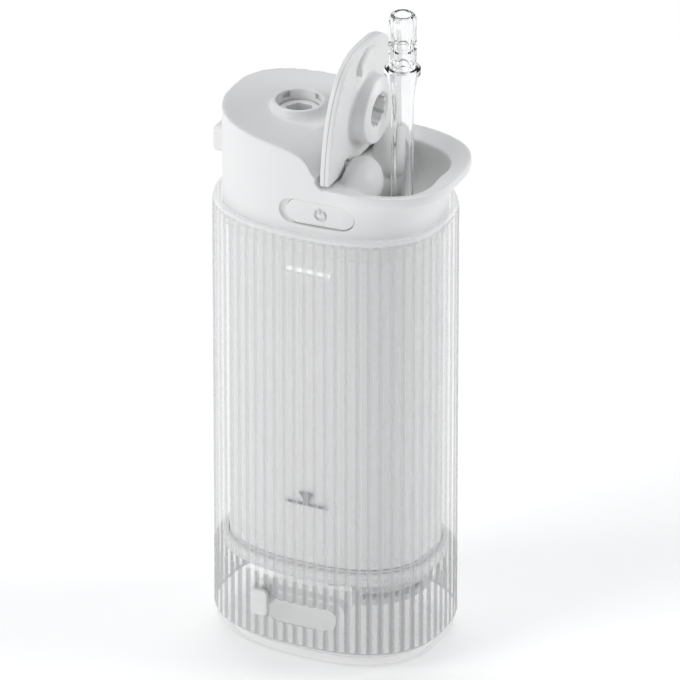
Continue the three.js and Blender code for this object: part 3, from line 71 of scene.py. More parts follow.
TANK_HIGH = edges("reservoir")[1]
BODY_LOW, BODY_HIGH = edges("body_shell")
CAP_LOW = edges("bottom_cap")[0]
HEAD_LOW, HEAD_HIGH = edges("head_shell")
TIP_LOW, TIP_HIGH = edges("ear_tip")
TUBE_LOW, TUBE_HIGH = edges("storage_tube")
SOCKET_LOW, SOCKET_HIGH = edges("nozzle_socket")
PIN_LOW, PIN_HIGH = edges("hinge_pin")
BUTTON_LOW, BUTTON_HIGH = edges("power_button")
RELEASE_LOW = edges("release_button")[0]
PORT_LOW, PORT_HIGH = edges("port_cover")
PLUG_LOW, PLUG_HIGH = edges("fill_plug")

HINGE = Vector(((PIN_LOW.x + PIN_HIGH.x) / 2, 0, (PIN_LOW.z + PIN_HIGH.z) / 2))
BAY_X = (TUBE_LOW.x + TUBE_HIGH.x) / 2
SOCKET_X = (SOCKET_LOW.x + SOCKET_HIGH.x) / 2
RIM_Z = HINGE.z - 2.1 * MM
BODY_X, BODY_Y = BODY_HIGH.x, BODY_HIGH.y
HEAD_X, HEAD_Y = BODY_X + 1.5 * MM, BODY_Y + 1.5 * MM
RIM_X, RIM_Y = HEAD_HIGH.x, HEAD_Y + 0.7 * MM


# ---------------------------------------------------------------- sizes and colours a user can change


def length(name, description, default):
    return bpy.props.FloatProperty(
        name=name, description=description, default=default, unit="LENGTH", subtype="DISTANCE", precision=5
    )


def colour(name, description, default):
    return bpy.props.FloatVectorProperty(
        name=name, description=description, default=default, subtype="COLOR", size=3, min=0, max=1
    )


def bearing(name, description, degrees):
    return bpy.props.FloatProperty(
        name=name, description=description, default=math.radians(degrees), subtype="ANGLE"
    )


class ReservoirSizes(bpy.types.PropertyGroup):
    ribs: bpy.props.IntProperty(name="Ribs", description="Upright ribs round the tank", default=64, min=8)
    rib_height: length("Rib height", "How far a rib stands out of the wall", 0.45 * MM)
    wall: length("Wall", "Thickness of the reservoir wall", 1.6 * MM)
    floor: length("Floor", "Thickness of the reservoir floor", 2.4 * MM)
    fillet: length("Base fillet", "Rounding round the base", 4.5 * MM)
    tint: colour("Tint", "Colour of the clear reservoir plastic", (0.95, 0.955, 0.96))


class BodySizes(bpy.types.PropertyGroup):
    wall: length("Wall", "Thickness of the inner body wall", 1.6 * MM)
    groove: length("Groove", "Depth of the line above the cap", 0.12 * MM)
    paint: colour("Colour", "Colour of the inner body plastic", (0.82, 0.82, 0.82))


class HeadSizes(bpy.types.PropertyGroup):
    wall: length("Wall", "Thickness of the head wall", 1.8 * MM)
    bowl_depth: length("Bowl depth", "Depth of the storage bowl above its throat", 13 * MM)
    lip: length("Lip", "Width of the flat lip round the bowl", 1.0 * MM)
    softness: length("Softness", "Grid size of the moulded form, which rounds its edges", 0.4 * MM)
    paint: colour("Colour", "Colour of the satin head plastic", (0.80, 0.80, 0.80))


class LidSizes(bpy.types.PropertyGroup):
    layer: length("Layer", "Thickness of each of the lid's two layers", 1.49 * MM)
    split: length("Split", "Half of the gap between the layers", 0.01 * MM)
    boss_radius: length("Boss radius", "Radius of the tip holder ring", 9.4 * MM)
    boss_height: length("Boss height", "Height of the tip holder ring", 4 * MM)


class TipSizes(bpy.types.PropertyGroup):
    connector_radius: length("Connector radius", "Radius of the tip's connector", 3.65 * MM)
    connector_length: length("Connector length", "Length of the tip's connector", 15.4 * MM)
    flange_radius: length("Flange radius", "Radius of the tip's flange", 4.85 * MM)
    shaft_radius: length("Shaft radius", "Radius of the tip's shaft", 3 * MM)
    tint: colour("Tint", "Colour of the clear tip plastic", (0.985, 0.99, 0.99))


class ControlSizes(bpy.types.PropertyGroup):
    sink: length("Sink", "How far the power button lies under the wall", 0.3 * MM)
    symbol: length("Symbol", "Radius of the symbol on the power button", 1.5 * MM)


class StageSizes(bpy.types.PropertyGroup):
    azimuth: bearing("Azimuth", "Turn of the camera round the object", 25.3)
    elevation: bearing("Elevation", "Camera angle above the horizon", 28.0)
    distance: length("Distance", "Distance from the camera to its target", 2.856)
    floor: colour("Floor", "Colour of the floor", (0.93, 0.93, 0.93))


# ---------------------------------------------------------------- shader expressions


class Wire:
    """A value socket in a recipe. Arithmetic on it adds Math nodes."""

    def __init__(self, recipe, socket):
        self.recipe = recipe
        self.socket = socket

    def maths(self, operation, first, second=None):
        sockets = {0: first} if second is None else {0: first, 1: second}
        return self.recipe.node("ShaderNodeMath", {"operation": operation}, sockets).out()

    def __add__(self, other):
        return self.maths("ADD", self, other)

    __radd__ = __add__

    def __sub__(self, other):
        return self.maths("SUBTRACT", self, other)

    def __rsub__(self, other):
        return self.maths("SUBTRACT", other, self)

    def __mul__(self, other):
        return self.maths("MULTIPLY", self, other)

    __rmul__ = __mul__

    def __truediv__(self, other):
        return self.maths("DIVIDE", self, other)

    def __pow__(self, other):
        return self.maths("POWER", self, other)

    def clamp(self):
        return self.recipe.node("ShaderNodeClamp", {}, {0: self}).out()


class Node:
    def __init__(self, recipe, made):
        self.recipe = recipe
        self.made = made

    def out(self, key=0):
        return Wire(self.recipe, self.made.outputs[key])


class Recipe:
    """One material, built node by node."""

    def __init__(self, name):
        self.material = bpy.data.materials.new(name)
        self.material.use_nodes = True
        self.tree = self.material.node_tree
        self.tree.nodes.clear()

    def node(self, kind, settings, sockets):
        made = self.tree.nodes.new(kind)
        for key, value in settings.items():
            setattr(made, key, value)
        for key, value in sockets.items():
            if isinstance(value, Wire):
                self.tree.links.new(value.socket, made.inputs[key])
            else:
                made.inputs[key].default_value = value
        return Node(self, made)

    def place(self):
        return self.node("ShaderNodeTexCoord", {}, {}).out("Object")

    def noise(self, scale, detail=2.0, stretch=None):
        where = self.place()
        if stretch:
            where = self.node("ShaderNodeMapping", {}, {"Vector": where, "Scale": stretch}).out()
        sockets = {"Vector": where, "Scale": scale, "Detail": detail}
        return self.node("ShaderNodeTexNoise", {}, sockets).out(0)

    def mix(self, share, first, second):
        sockets = {0: share, 6: first, 7: second}
        return self.node("ShaderNodeMix", {"data_type": "RGBA"}, sockets).out(2)

    def bump(self, height, distance, strength=1.0):
        sockets = {"Height": height, "Distance": distance, "Strength": strength}
        return self.node("ShaderNodeBump", {}, sockets).out()

    def surface(self, sockets):
        self.finish(self.node("ShaderNodeBsdfPrincipled", {}, sockets).out())

    def finish(self, shader):
        self.node("ShaderNodeOutputMaterial", {}, {"Surface": shader})


def shade(value, scale=1.0):
    """Opaque colour from a grey level or three numbers."""
    three = (value,) * 3 if isinstance(value, float) else tuple(value)
    return (three[0] * scale, three[1] * scale, three[2] * scale, 1.0)


def moulded(name, paint, roughness, grain=0.012 * MM, tone=0.03, gloss=0.5):
    """Satin injection-moulded plastic: faint tone drift, fine spark-eroded grain."""
    recipe = Recipe(name)
    drift = recipe.noise(38.0, 3.0)
    texture = recipe.noise(2600.0, 2.0)
    rough = roughness + 0.10 * (recipe.noise(420.0, 2.0) - 0.5)
    recipe.surface({
        "Base Color": recipe.mix(drift, shade(paint, 1 - tone), shade(paint, 1 + tone)),
        "Roughness": rough,
        "Specular IOR Level": gloss,
        "Normal": recipe.bump(texture, grain),
    })
    return recipe.material


def rubber(name, paint, roughness=0.75):
    """Silicone or rubber with a dusty bloom."""
    recipe = Recipe(name)
    bloom = recipe.noise(160.0, 4.0)
    recipe.surface({
        "Base Color": recipe.mix(bloom, shade(paint, 0.92), shade(paint, 1.04)),
        "Roughness": roughness + 0.15 * (bloom - 0.5),
        "Specular IOR Level": 0.3,
        "Normal": recipe.bump(recipe.noise(1500.0, 3.0), 0.02 * MM),
    })
    return recipe.material


def metal(name, paint, roughness, stretch):
    """Steel with fine lines along one direction."""
    recipe = Recipe(name)
    lines = recipe.noise(900.0, 3.0, stretch)
    stain = recipe.noise(90.0, 2.0)
    recipe.surface({
        "Base Color": recipe.mix(stain, shade(paint, 0.9), shade(paint, 1.05)),
        "Metallic": 1.0,
        "Roughness": roughness + 0.18 * (lines - 0.5),
        "Normal": recipe.bump(lines, 0.006 * MM),
    })
    return recipe.material


def clear_ribbed(name, tint):
    """Clear plastic seen as stripes: painted shade darkens the valleys between the ribs, which are also
    fuller than the crests, and darkens faces seen side-on and those with only space behind.
    """
    recipe = Recipe(name)
    crest = recipe.node("ShaderNodeAttribute", {"attribute_name": "crest"}, {}).out("Fac")
    side = recipe.node("ShaderNodeLayerWeight", {}, {"Blend": 0.35}).out("Facing")
    rim = recipe.node("ShaderNodeAttribute", {"attribute_name": "rim"}, {}).out("Fac")
    hollow = recipe.node("ShaderNodeAttribute", {"attribute_name": "hollow"}, {}).out("Fac")
    valley = ((0.94 - crest) * 4.0).clamp()
    cover = (0.07 + 0.30 * valley + 0.20 * side ** 2.0 + 0.30 * rim + hollow * (0.13 + 0.34 * valley)).clamp()
    # painted shade: the base colour is darkened in the rib valleys, towards faces seen side-on and where only
    # space lies behind the wall, but not on the rim band
    painted_shade = (0.58 * valley + 0.08 * side ** 3.0 + 0.26 * hollow - 0.5 * rim).clamp()
    recipe.surface({
        "Base Color": recipe.mix(painted_shade, shade(tint), shade(tint, 0.42)),
        "Roughness": 0.10 + 0.06 * (recipe.noise(300.0, 2.0) - 0.5),
        "Alpha": cover,
        "IOR": 1.49,
        "Specular IOR Level": 0.6,
    })
    return recipe.material


def crystal(name, tint):
    """Clear glossy plastic that lets lamps through."""
    recipe = Recipe(name)
    ripple = recipe.noise(260.0, 2.0)
    glass = recipe.node("ShaderNodeBsdfPrincipled", {}, {
        "Base Color": recipe.mix(recipe.noise(90.0, 2.0), shade(tint, 0.985), shade(tint)),
        "Roughness": 0.02 + 0.02 * ripple,
        "Transmission Weight": 1.0,
        "IOR": 1.47,
        "Normal": recipe.bump(ripple, 0.01 * MM),
    }).out()
    shadow = recipe.node("ShaderNodeLightPath", {}, {}).out("Is Shadow Ray")
    through = recipe.node("ShaderNodeBsdfTransparent", {}, {"Color": (0.93, 0.93, 0.93, 1.0)}).out()
    recipe.finish(recipe.node("ShaderNodeMixShader", {}, {0: shadow, 1: glass, 2: through}).out())
    return recipe.material


def printed(name, paint):
    """Screen-printed ink, slightly uneven."""
    recipe = Recipe(name)
    cover = recipe.noise(1400.0, 2.0)
    recipe.surface({
        "Base Color": recipe.mix(cover, shade(paint, 0.85), shade(paint, 1.2)),
        "Roughness": 0.5 + 0.2 * (cover - 0.5),
        "Normal": recipe.bump(cover, 0.01 * MM),
    })
    return recipe.material


def wrapped(name, paint):
    """Shrink wrap on the cell, with a pale band and tight creases."""
    recipe = Recipe(name)
    height = recipe.node("ShaderNodeSeparateXYZ", {}, {0: recipe.place()}).out("Z")
    low, high = edges("battery")
    level = (height - low.z) / (high.z - low.z)
    band = ((level - 0.82) * 90.0).clamp()
    crease = recipe.noise(500.0, 3.0, (0.4, 0.4, 2.0))
    recipe.surface({
        "Base Color": recipe.mix(band, shade(paint), shade(0.75)),
        "Roughness": 0.35 + 0.2 * (crease - 0.5),
        "Normal": recipe.bump(crease, 0.03 * MM),
    })
    return recipe.material


def laminate(name, paint):
    """Circuit board with tinned pads and faint tracks."""
    recipe = Recipe(name)
    where = recipe.place()
    cells = {"Vector": where, "Scale": 420.0, "Randomness": 0.35}
    pads = recipe.node("ShaderNodeTexVoronoi", {"feature": "F1"}, cells).out("Distance")
    pad = ((0.16 - pads) * 30.0).clamp()
    track = ((recipe.noise(600.0, 0.0, (1.0, 1.0, 0.12)) - 0.55) * 25.0).clamp()
    green = recipe.mix(track, shade(paint), shade(paint, 1.5))
    recipe.surface({
        "Base Color": recipe.mix(pad, green, shade(0.7)),
        "Metallic": pad,
        "Roughness": 0.45 - 0.15 * pad,
        "Normal": recipe.bump(track + pad, 0.03 * MM),
    })
    return recipe.material


def glowing(name, paint):
    """Frosted light guide with a faint painted glow."""
    recipe = Recipe(name)
    frost = recipe.noise(900.0, 2.0)
    recipe.surface({
        "Base Color": recipe.mix(frost, shade(paint, 0.95), shade(paint)),
        "Roughness": 0.3 + 0.2 * (frost - 0.5),
        # painted glow: a faint even emission makes the light guide brighter than its lighting
        "Emission Color": recipe.mix(frost, shade(0.9), shade(1.0)),
        "Emission Strength": 0.25,
        "Normal": recipe.bump(frost, 0.01 * MM),
    })
    return recipe.material


# ---------------------------------------------------------------- mesh helpers


def radius_at(half_x, half_y, power, angle):
    across = abs(math.cos(angle) / half_x) ** power
    along = abs(math.sin(angle) / half_y) ** power
    return (across + along) ** (-1 / power)


def outline(half_x, half_y, power, count):
    """Superellipse points, evenly spaced along its length."""
    fine = 8 * count
    trace = []
    for i in range(fine + 1):
        angle = 2 * math.pi * i / fine
        radius = radius_at(half_x, half_y, power, angle)
        trace.append(Vector((radius * math.cos(angle), radius * math.sin(angle))))
    run = [0.0]
    for a, b in zip(trace, trace[1:]):
        run.append(run[-1] + (b - a).length)
    points, at = [], 0
    for i in range(count):
        wanted = run[-1] * i / count
        while run[at + 1] < wanted:
            at += 1
        points.append(trace[at].lerp(trace[at + 1], (wanted - run[at]) / (run[at + 1] - run[at])))
    return points


def lifted(points, z):
    return [Vector((p.x, p.y, z)) for p in points]


def skin(rings, ends=True, loop=False):
    """Faces through a stack of rings that all have the same number of points."""
    made = bmesh.new()
    rows = [[made.verts.new(point) for point in ring] for ring in rings]
    pairs = list(zip(rows, rows[1:]))
    if loop:
        pairs.append((rows[-1], rows[0]))
    for low, high in pairs:
        for i in range(len(low)):
            j = (i + 1) % len(low)
            made.faces.new((low[i], low[j], high[j], high[i]))
    if ends and not loop:
        made.faces.new(rows[0][::-1])
        made.faces.new(rows[-1])
    bmesh.ops.recalc_face_normals(made, faces=made.faces)
    return made


def turned(profile, centre, sides=72, loop=False, bend=None):
    """(radius, height) pairs turned round an upright axis. bend can change the radius by angle."""
    rings = []
    for radius, z in profile:
        ring = []
        for i in range(sides):
            angle = 2 * math.pi * i / sides
            r = bend(radius, z, angle) if bend else radius
            ring.append(Vector((centre.x + r * math.cos(angle), centre.y + r * math.sin(angle), z)))
        rings.append(ring)
    return skin(rings, loop=loop)


def rounded(half_u, half_v, corner, steps=8):
    """Rounded rectangle; a stadium when corner equals half_v."""
    points = []
    for quadrant, (su, sv) in enumerate(((1, -1), (1, 1), (-1, 1), (-1, -1))):
        for i in range(steps + 1):
            angle = (quadrant - 1) * QUARTER + QUARTER * i / steps
            u = su * (half_u - corner) + corner * math.cos(angle)
            v = sv * (half_v - corner) + corner * math.sin(angle)
            points.append((u, v))
    return points


def slab(half_u, half_v, corner, depths, to_world, steps=8):
    """A rounded plate through (inset, depth) levels; to_world turns (u, v, depth) into a point."""
    rings = []
    for inset, depth in depths:
        left = max(corner - inset, 0.02 * MM)
        flat = rounded(max(half_u - inset, left), max(half_v - inset, left), left, steps)
        rings.append([to_world(u, v, depth) for u, v in flat])
    return skin(rings)


def quarter(start, end, steps=5, level=True):
    """A quarter round between two points that sets off along the first axis, or else along the second."""
    points = []
    for i in range(steps + 1):
        angle = QUARTER * i / steps
        u, v = math.sin(angle), 1 - math.cos(angle)
        if not level:
            u, v = 1 - math.cos(angle), math.sin(angle)
        points.append((start[0] + (end[0] - start[0]) * u, start[1] + (end[1] - start[1]) * v))
    return points


def soft_edge(radius, depth, inward):
    """Levels of a rounded edge from a face at depth; inward is the sign from the face into the plate."""
    return quarter((radius, depth), (0, depth + inward * radius), 4)


def facing(x, z, y=0.0):
    """Places (u, v, depth) on a plane across Y."""
    return lambda u, v, depth: Vector((x + u, y + depth, z + v))


def end_facing(z, x=0.0):
    """Places (u, v, depth) on a plane across X."""
    return lambda u, v, depth: Vector((x + depth, u, z + v))


def raw(name, made):
    """An object from a bmesh, linked to the scene."""
    mesh = bpy.data.meshes.new(name)
    made.to_mesh(mesh)
    made.free()
    obj = bpy.data.objects.new(name, mesh)
    bpy.context.scene.collection.objects.link(obj)
    return obj


def settle(obj):
    """Writes what the modifiers make into the object's own mesh."""
    bpy.context.view_layer.update()
    seen = obj.evaluated_get(bpy.context.evaluated_depsgraph_get())
    fresh = bpy.data.meshes.new_from_object(seen)
    obj.modifiers.clear()
    old, obj.data = obj.data, fresh
    bpy.data.meshes.remove(old)


def combine(target, made, operation):
    """Boolean of an object with a bmesh."""
    tool = raw("tool", made)
    modifier = target.modifiers.new("combine", "BOOLEAN")
    modifier.solver = "MANIFOLD"
    modifier.operation = operation
    modifier.object = tool
    settle(target)
    bpy.data.objects.remove(tool)
    if not target.data.polygons:
        raise RuntimeError(f"{target.name} came out of a boolean empty")


def cut(target, made):
    combine(target, made, "DIFFERENCE")


def join(target, made):
    combine(target, made, "UNION")


def common(target, made):
    combine(target, made, "INTERSECT")


def dress(obj, body, material, slot, *nodes, crease=32.0):
    """Shading, material, frame body and the frame nodes that the piece stands for."""
    obj.data.shade_smooth()
    obj.data.set_sharp_from_angle(angle=math.radians(crease))
    obj.data.materials.clear()
    obj.data.materials.append(material)
    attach(obj, body)
    if nodes:
        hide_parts(*nodes)


def box_at(low, high):
    made = bmesh.new()
    bmesh.ops.create_cube(made, size=1.0)
    size = Vector(high) - Vector(low)
    centre = (Vector(high) + Vector(low)) / 2
    made.transform(Matrix.Translation(centre) @ Matrix.Diagonal((*size, 1.0)))
    return made


def rod(radius, start, end, sides=48):
    """A cutter or core along one axis from start to end."""
    start, end = Vector(start), Vector(end)
    turn = (end - start).to_track_quat("Z", "Y").to_matrix()
    rings = []
    for base in (start, end):
        ring = []
        for i in range(sides):
            angle = 2 * math.pi * i / sides
            ring.append(base + turn @ Vector((radius * math.cos(angle), radius * math.sin(angle), 0)))
        rings.append(ring)
    return skin(rings)


def wall_y(x, inset=0.0):
    """Y of the head's front wall at an x."""
    share = abs(x / (HEAD_X - inset)) ** PLAN_POWER
    return -(HEAD_Y - inset) * max(1 - share, 0.0) ** (1 / PLAN_POWER)


# ---------------------------------------------------------------- reservoir and fill plug

TANK_X = TANK_HIGH.x - 0.45 * MM
TANK_Y = TANK_HIGH.y - 0.45 * MM
HOLLOW_TOP = CAP_LOW.z + 0.8 * MM
POCKET_X = 1.9 * MM
POCKET_HALF = 9.7 * MM
POCKET_LOW = 11.9 * MM
POCKET_TOP = 18.6 * MM
POCKET_RISE = 3.3 * MM
POCKET_DEPTH = 3.4 * MM
POCKET_CORNER = 2.6 * MM
RIB_START = 5.6 * MM
RIM_BAND = 1.2 * MM
RIB_RAMP = 0.8 * MM
PLUG_X = (PLUG_LOW.x + PLUG_HIGH.x) / 2
PLUG_Z = (PLUG_LOW.z + PLUG_HIGH.z) / 2
PLUG_BORE = 2.9 * MM


def smooth(low, high, value):
    share = min(max((value - low) / (high - low), 0.0), 1.0)
    return share * share * (3 - 2 * share)


def rib_ring(half_x, half_y, ribs, steps, rib, z):
    """One level of the reservoir's outside, with round-backed ribs and narrow valleys."""
    points = outline(half_x, half_y, PLAN_POWER, ribs * steps)
    ring = []
    for i, point in enumerate(points):
        before, after = points[i - 1], points[(i + 1) % len(points)]
        outward = Vector((after.y - before.y, before.x - after.x)).normalized()
        lift = rib * (1 - math.cos(math.pi * (i % steps) / steps) ** 4)
        grown = point + outward * lift
        ring.append(Vector((grown.x, grown.y, z)))
    return ring


def pocket(grow):
    """The finger pocket's form, sloping up at its floor; grow makes the backing round it."""
    mouth = -TANK_Y
    rings = []
    for y, low in ((mouth - 4 * MM, 0.0), (mouth, 0.0), (mouth + POCKET_DEPTH + grow, POCKET_RISE)):
        bottom = POCKET_LOW + low - grow
        top = POCKET_TOP + grow
        corner = min(POCKET_CORNER + grow, (top - bottom) / 2.2)
        flat = rounded(POCKET_HALF + grow, (top - bottom) / 2, corner, 6)
        rings.append([Vector((POCKET_X + u, y, (top + bottom) / 2 + v)) for u, v in flat])
    return skin(rings)


def plug_rod(radius, outside, inside):
    """A rod through the reservoir's wall on the fill plug's axis."""
    return rod(radius, (PLUG_X, -TANK_Y - outside, PLUG_Z), (PLUG_X, -TANK_Y + inside, PLUG_Z))


def build_reservoir(sizes):
    steps = 10
    count = sizes.ribs * steps
    top = TANK_HIGH.z
    rings = []
    for inset, z in quarter((sizes.fillet, 0), (0, sizes.fillet), 6):
        rings.append(rib_ring(TANK_X - inset, TANK_Y - inset, sizes.ribs, steps, 0, z))
    band = top - RIM_BAND
    half_ramp = RIB_RAMP / 2
    levels = [
        (RIB_START, 0), (RIB_START + half_ramp, 0.6), (RIB_START + RIB_RAMP, 1), (HOLLOW_TOP - 0.1 * MM, 1),
        (HOLLOW_TOP, 1), (40 * MM, 1), (80 * MM, 1), (band - RIB_RAMP, 1), (band - half_ramp, 0.6), (band, 0),
    ]
    for z, share in levels:
        rings.append(rib_ring(TANK_X, TANK_Y, sizes.ribs, steps, sizes.rib_height * share, z))
    edge = 0.35 * MM
    rings.append(lifted(outline(TANK_X, TANK_Y, PLAN_POWER, count), top - edge))
    rings.append(lifted(outline(TANK_X - edge, TANK_Y - edge, PLAN_POWER, count), top))
    in_x, in_y = TANK_X - sizes.wall, TANK_Y - sizes.wall
    rings.append(lifted(outline(in_x + edge, in_y + edge, PLAN_POWER, count), top))
    rings.append(lifted(outline(in_x, in_y, PLAN_POWER, count), top - edge))
    inner_fillet = 3 * MM
    floor = sizes.floor
    for inset, z in quarter((0, floor + inner_fillet), (inner_fillet, floor), 4, level=False):
        rings.append(lifted(outline(in_x - inset, in_y - inset, PLAN_POWER, count), z))
    shell = raw("reservoir_shell", skin(rings))
    backing = raw("backing", pocket(sizes.wall))
    join(backing, plug_rod(PLUG_BORE + sizes.wall, 3 * MM, 5 * MM))
    grown = lifted(outline(in_x + 0.6 * MM, in_y + 0.6 * MM, PLAN_POWER, 160), 0)
    common(backing, skin([[p + Vector((0, 0, z)) for p in grown] for z in (4 * MM, 40 * MM)]))
    join(shell, taken(backing))
    cut(shell, pocket(0.0))
    cut(shell, plug_rod(PLUG_BORE, 4 * MM, 8 * MM))
    mark_crests(shell, sizes.rib_height)
    plastic = clear_ribbed("clear_ribbed_plastic", sizes.tint)
    dress(shell, "reservoir", plastic, "clear_tank_plastic", "reservoir")


def rise_over_wall(point):
    """How far a point stands out of the reservoir's plain outline."""
    x, y = abs(point.x / TANK_X), abs(point.y / TANK_Y)
    scale = (x ** PLAN_POWER + y ** PLAN_POWER) ** (1 / PLAN_POWER)
    slope_x = scale ** (1 - PLAN_POWER) * x ** (PLAN_POWER - 1) / TANK_X
    slope_y = scale ** (1 - PLAN_POWER) * y ** (PLAN_POWER - 1) / TANK_Y
    return (scale - 1) / math.hypot(slope_x, slope_y)


def mark_crests(shell, rib):
    """Stores how far up a rib each corner lies, which faces are the rim, and which have only space behind,
    for the clear plastic's painted shade.
    """
    mesh = shell.data
    crest = mesh.attributes.new("crest", "FLOAT", "CORNER").data
    rim = mesh.attributes.new("rim", "FLOAT", "FACE").data
    hollow = mesh.attributes.new("hollow", "FLOAT", "FACE").data
    for face in mesh.polygons:
        middle = face.center
        band = middle.z > TANK_HIGH.z - RIM_BAND
        ribbed = RIB_START < middle.z and not band and rise_over_wall(middle) > -0.1 * MM
        rim[face.index].value = 1.0 if band else 0.0
        # the base fillet gets part of the painted shade of the space behind
        base = 0.3 if middle.z < RIB_START else 0.0
        hollow[face.index].value = 1.0 if ribbed and middle.z < HOLLOW_TOP else base
        for k in face.loop_indices:
            point = mesh.vertices[mesh.loops[k].vertex_index].co
            crest[k].value = min(max(rise_over_wall(point) / rib, 0.0), 1.0) if ribbed else 1.0


def build_plug():
    face = PLUG_LOW.y
    tab_u, tab_v, thick = 2.55 * MM, (PLUG_HIGH.z - PLUG_LOW.z) / 2, 1.3 * MM
    levels = [(1.6 * MM, 0), *soft_edge(0.45 * MM, 0, 1), (0, thick - 0.1 * MM), (0.1 * MM, thick)]
    tab = raw("fill_plug_tab", slab(tab_u, tab_v, 1.5 * MM, levels, facing(PLUG_X, PLUG_Z, face), 10))
    join(tab, rod(2.6 * MM, (PLUG_X, face + thick / 2, PLUG_Z), (PLUG_X, PLUG_HIGH.y, PLUG_Z)))
    silicone = rubber("plug_silicone", (0.76, 0.76, 0.76), 0.5)
    dress(tab, "fill_plug", silicone, "white_silicone", "fill_plug")


# ---------------------------------------------------------------- inner body

RING = 240
CAP_SEAM = 29.3 * MM
SEAL_LOW, SEAL_HIGH = edges("seal_ring")
LAMP_LOW, LAMP_HIGH = edges("indicator_light")


def body_ring(inset, z):
    return lifted(outline(BODY_X - inset, BODY_Y - inset, PLAN_POWER, RING), z)


def build_body(sizes, paint):
    low, high = BODY_LOW.z, BODY_HIGH.z
    line = low + 2.7 * MM
    nick = 0.25 * MM
    levels = [
        (nick, low), (0, low + nick), (0, line - nick), (sizes.groove, line), (0, line + nick),
        (0, high - nick), (nick, high), (sizes.wall, high), (sizes.wall, low),
    ]
    shell = raw("inner_body", skin([body_ring(inset, z) for inset, z in levels], loop=True))
    gap = 0.3 * MM
    half_u = (LAMP_HIGH.x - LAMP_LOW.x) / 2 + gap
    half_v = (LAMP_HIGH.z - LAMP_LOW.z) / 2 + gap
    middle = (LAMP_LOW + LAMP_HIGH) / 2
    window = slab(half_u, half_v, half_v, [(0, -FAR), (0, -BODY_Y / 2)], facing(middle.x, middle.z))
    cut(shell, window)
    dress(shell, "main_unit", paint, "white_body_plastic", "body_shell")


def build_cap(sizes, paint):
    low, high = CAP_LOW.z, CAP_SEAM
    floor = low + 1.6 * MM
    levels = [
        (0.8 * MM, low), (0.35 * MM, low + 0.12 * MM), (0.08 * MM, low + 0.45 * MM), (0, low + 0.9 * MM),
        (0, high - 0.25 * MM), (0.25 * MM, high), (sizes.wall, high), (sizes.wall, floor),
    ]
    cap = raw("bottom_cap_cup", skin([body_ring(inset, z) for inset, z in levels]))
    for i in range(1, 5):
        a, b = edges(f"cap_screw_{i}")
        x, y = (a.x + b.x) / 2, (a.y + b.y) / 2
        cut(cap, rod(1.2 * MM, (x, y, low - MM), (x, y, high)))
    dress(cap, "main_unit", paint, "white_body_plastic", "bottom_cap")


def build_seal():
    tank_x, tank_y = SEAL_HIGH.x, SEAL_HIGH.y
    wide = tank_x - BODY_X - 0.3 * MM
    lip, waist = 0.5 * MM, 0.6 * MM
    low, high = SEAL_LOW.z, SEAL_HIGH.z
    profile = [
        (wide, low), (lip, low), (0, low + lip), (waist, low + 2 * waist), (waist, high - 2 * waist),
        (0, high - lip), (lip, high), (wide, high),
    ]
    rings = [lifted(outline(tank_x - inset, tank_y - inset, PLAN_POWER, RING), z) for inset, z in profile]
    ring = raw("lip_seal", skin(rings, loop=True))
    silicone = rubber("seal_silicone", (0.86, 0.86, 0.86))
    dress(ring, "main_unit", silicone, "white_silicone", "seal_ring")


# ---------------------------------------------------------------- head

HEAD_SIDES = 256
FLARE_Z = RIM_Z - 11.5 * MM
FLARE_END = RIM_Z - 2.6 * MM
STEP_X = HINGE.x + 0.6 * MM
BAY_R = 6.2 * MM
BOWL_LEFT = HINGE.x + 1.6 * MM
BAND = 4.7 * MM
BAND_DROP = 1.8 * MM
BAND_SHARE = 0.25
THROAT = 2 * MM
COLLAR_TOP = RIM_Z + 12.9 * MM
COLLAR_R = 7.3 * MM
COLLAR_BORE = 6.2 * MM
POWER_X = (BUTTON_LOW.x + BUTTON_HIGH.x) / 2
POWER_Z = (BUTTON_LOW.z + BUTTON_HIGH.z) / 2
POWER_U = 9.7 * MM
POWER_V = 3.5 * MM
POWER_GAP = 0.14 * MM
SCOOP = 1.8 * MM
SLOT_U = 1.3 * MM
SLOT_V = 0.8 * MM
PORT_SLOT_U = 4.45 * MM
PORT_SLOT_V = 1.65 * MM
PORT_COVER_U = 6.9 * MM
RELEASE_Z = RIM_Z - 1.1 * MM
RELEASE_U = 6.6 * MM
RELEASE_V = 3.7 * MM
PORT_X = (PORT_LOW.x + PORT_HIGH.x) / 2
PORT_Z = (PORT_LOW.z + PORT_HIGH.z) / 2
SHOULDER = [(0, 0), (-3.5, 3.5), (-5.6, 6.8), (-8.2, 8.6), (-13.6, 9.9), (-27.6, 11.4), (-37.6, 12.8)]


def head_ring(z, inset=0.0):
    """One level of the head: its own plan at the left, widening to the bowl's rim at the right."""
    flare = min(max((z - FLARE_Z) / (FLARE_END - FLARE_Z), 0.0), 1.0) ** 2
    ring = []
    for i in range(HEAD_SIDES):
        angle = 2 * math.pi * i / HEAD_SIDES
        plain = radius_at(HEAD_X - inset, HEAD_Y - inset, PLAN_POWER, angle)
        rim = radius_at(RIM_X - inset, RIM_Y - inset, RIM_POWER, angle)
        share = flare * smooth(4 * MM, 16 * MM, plain * math.cos(angle))
        radius = plain + (rim - plain) * share
        ring.append(Vector((radius * math.cos(angle), radius * math.sin(angle), z)))
    return ring


def head_column(inset, low):
    steps = 12
    flare = [FLARE_Z + (FLARE_END - FLARE_Z) * i / steps for i in range(steps + 1)]
    return skin([head_ring(z, inset) for z in (low, *flare, RIM_Z + 17 * MM)])


def through(points, steps):
    """A smooth curve through points."""
    made = []
    for i in range(len(points) - 1):
        p0, p1, p2, p3 = points[max(i - 1, 0)], points[i], points[i + 1], points[min(i + 2, len(points) - 1)]
        for k in range(steps):
            t = k / steps
            made.append(0.5 * (
                2 * p1 + (p2 - p0) * t + (2 * p0 - 5 * p1 + 4 * p2 - p3) * t * t
                + (3 * p1 - p0 - 3 * p2 + p3) * t ** 3
            ))
    made.append(points[-1])
    return made


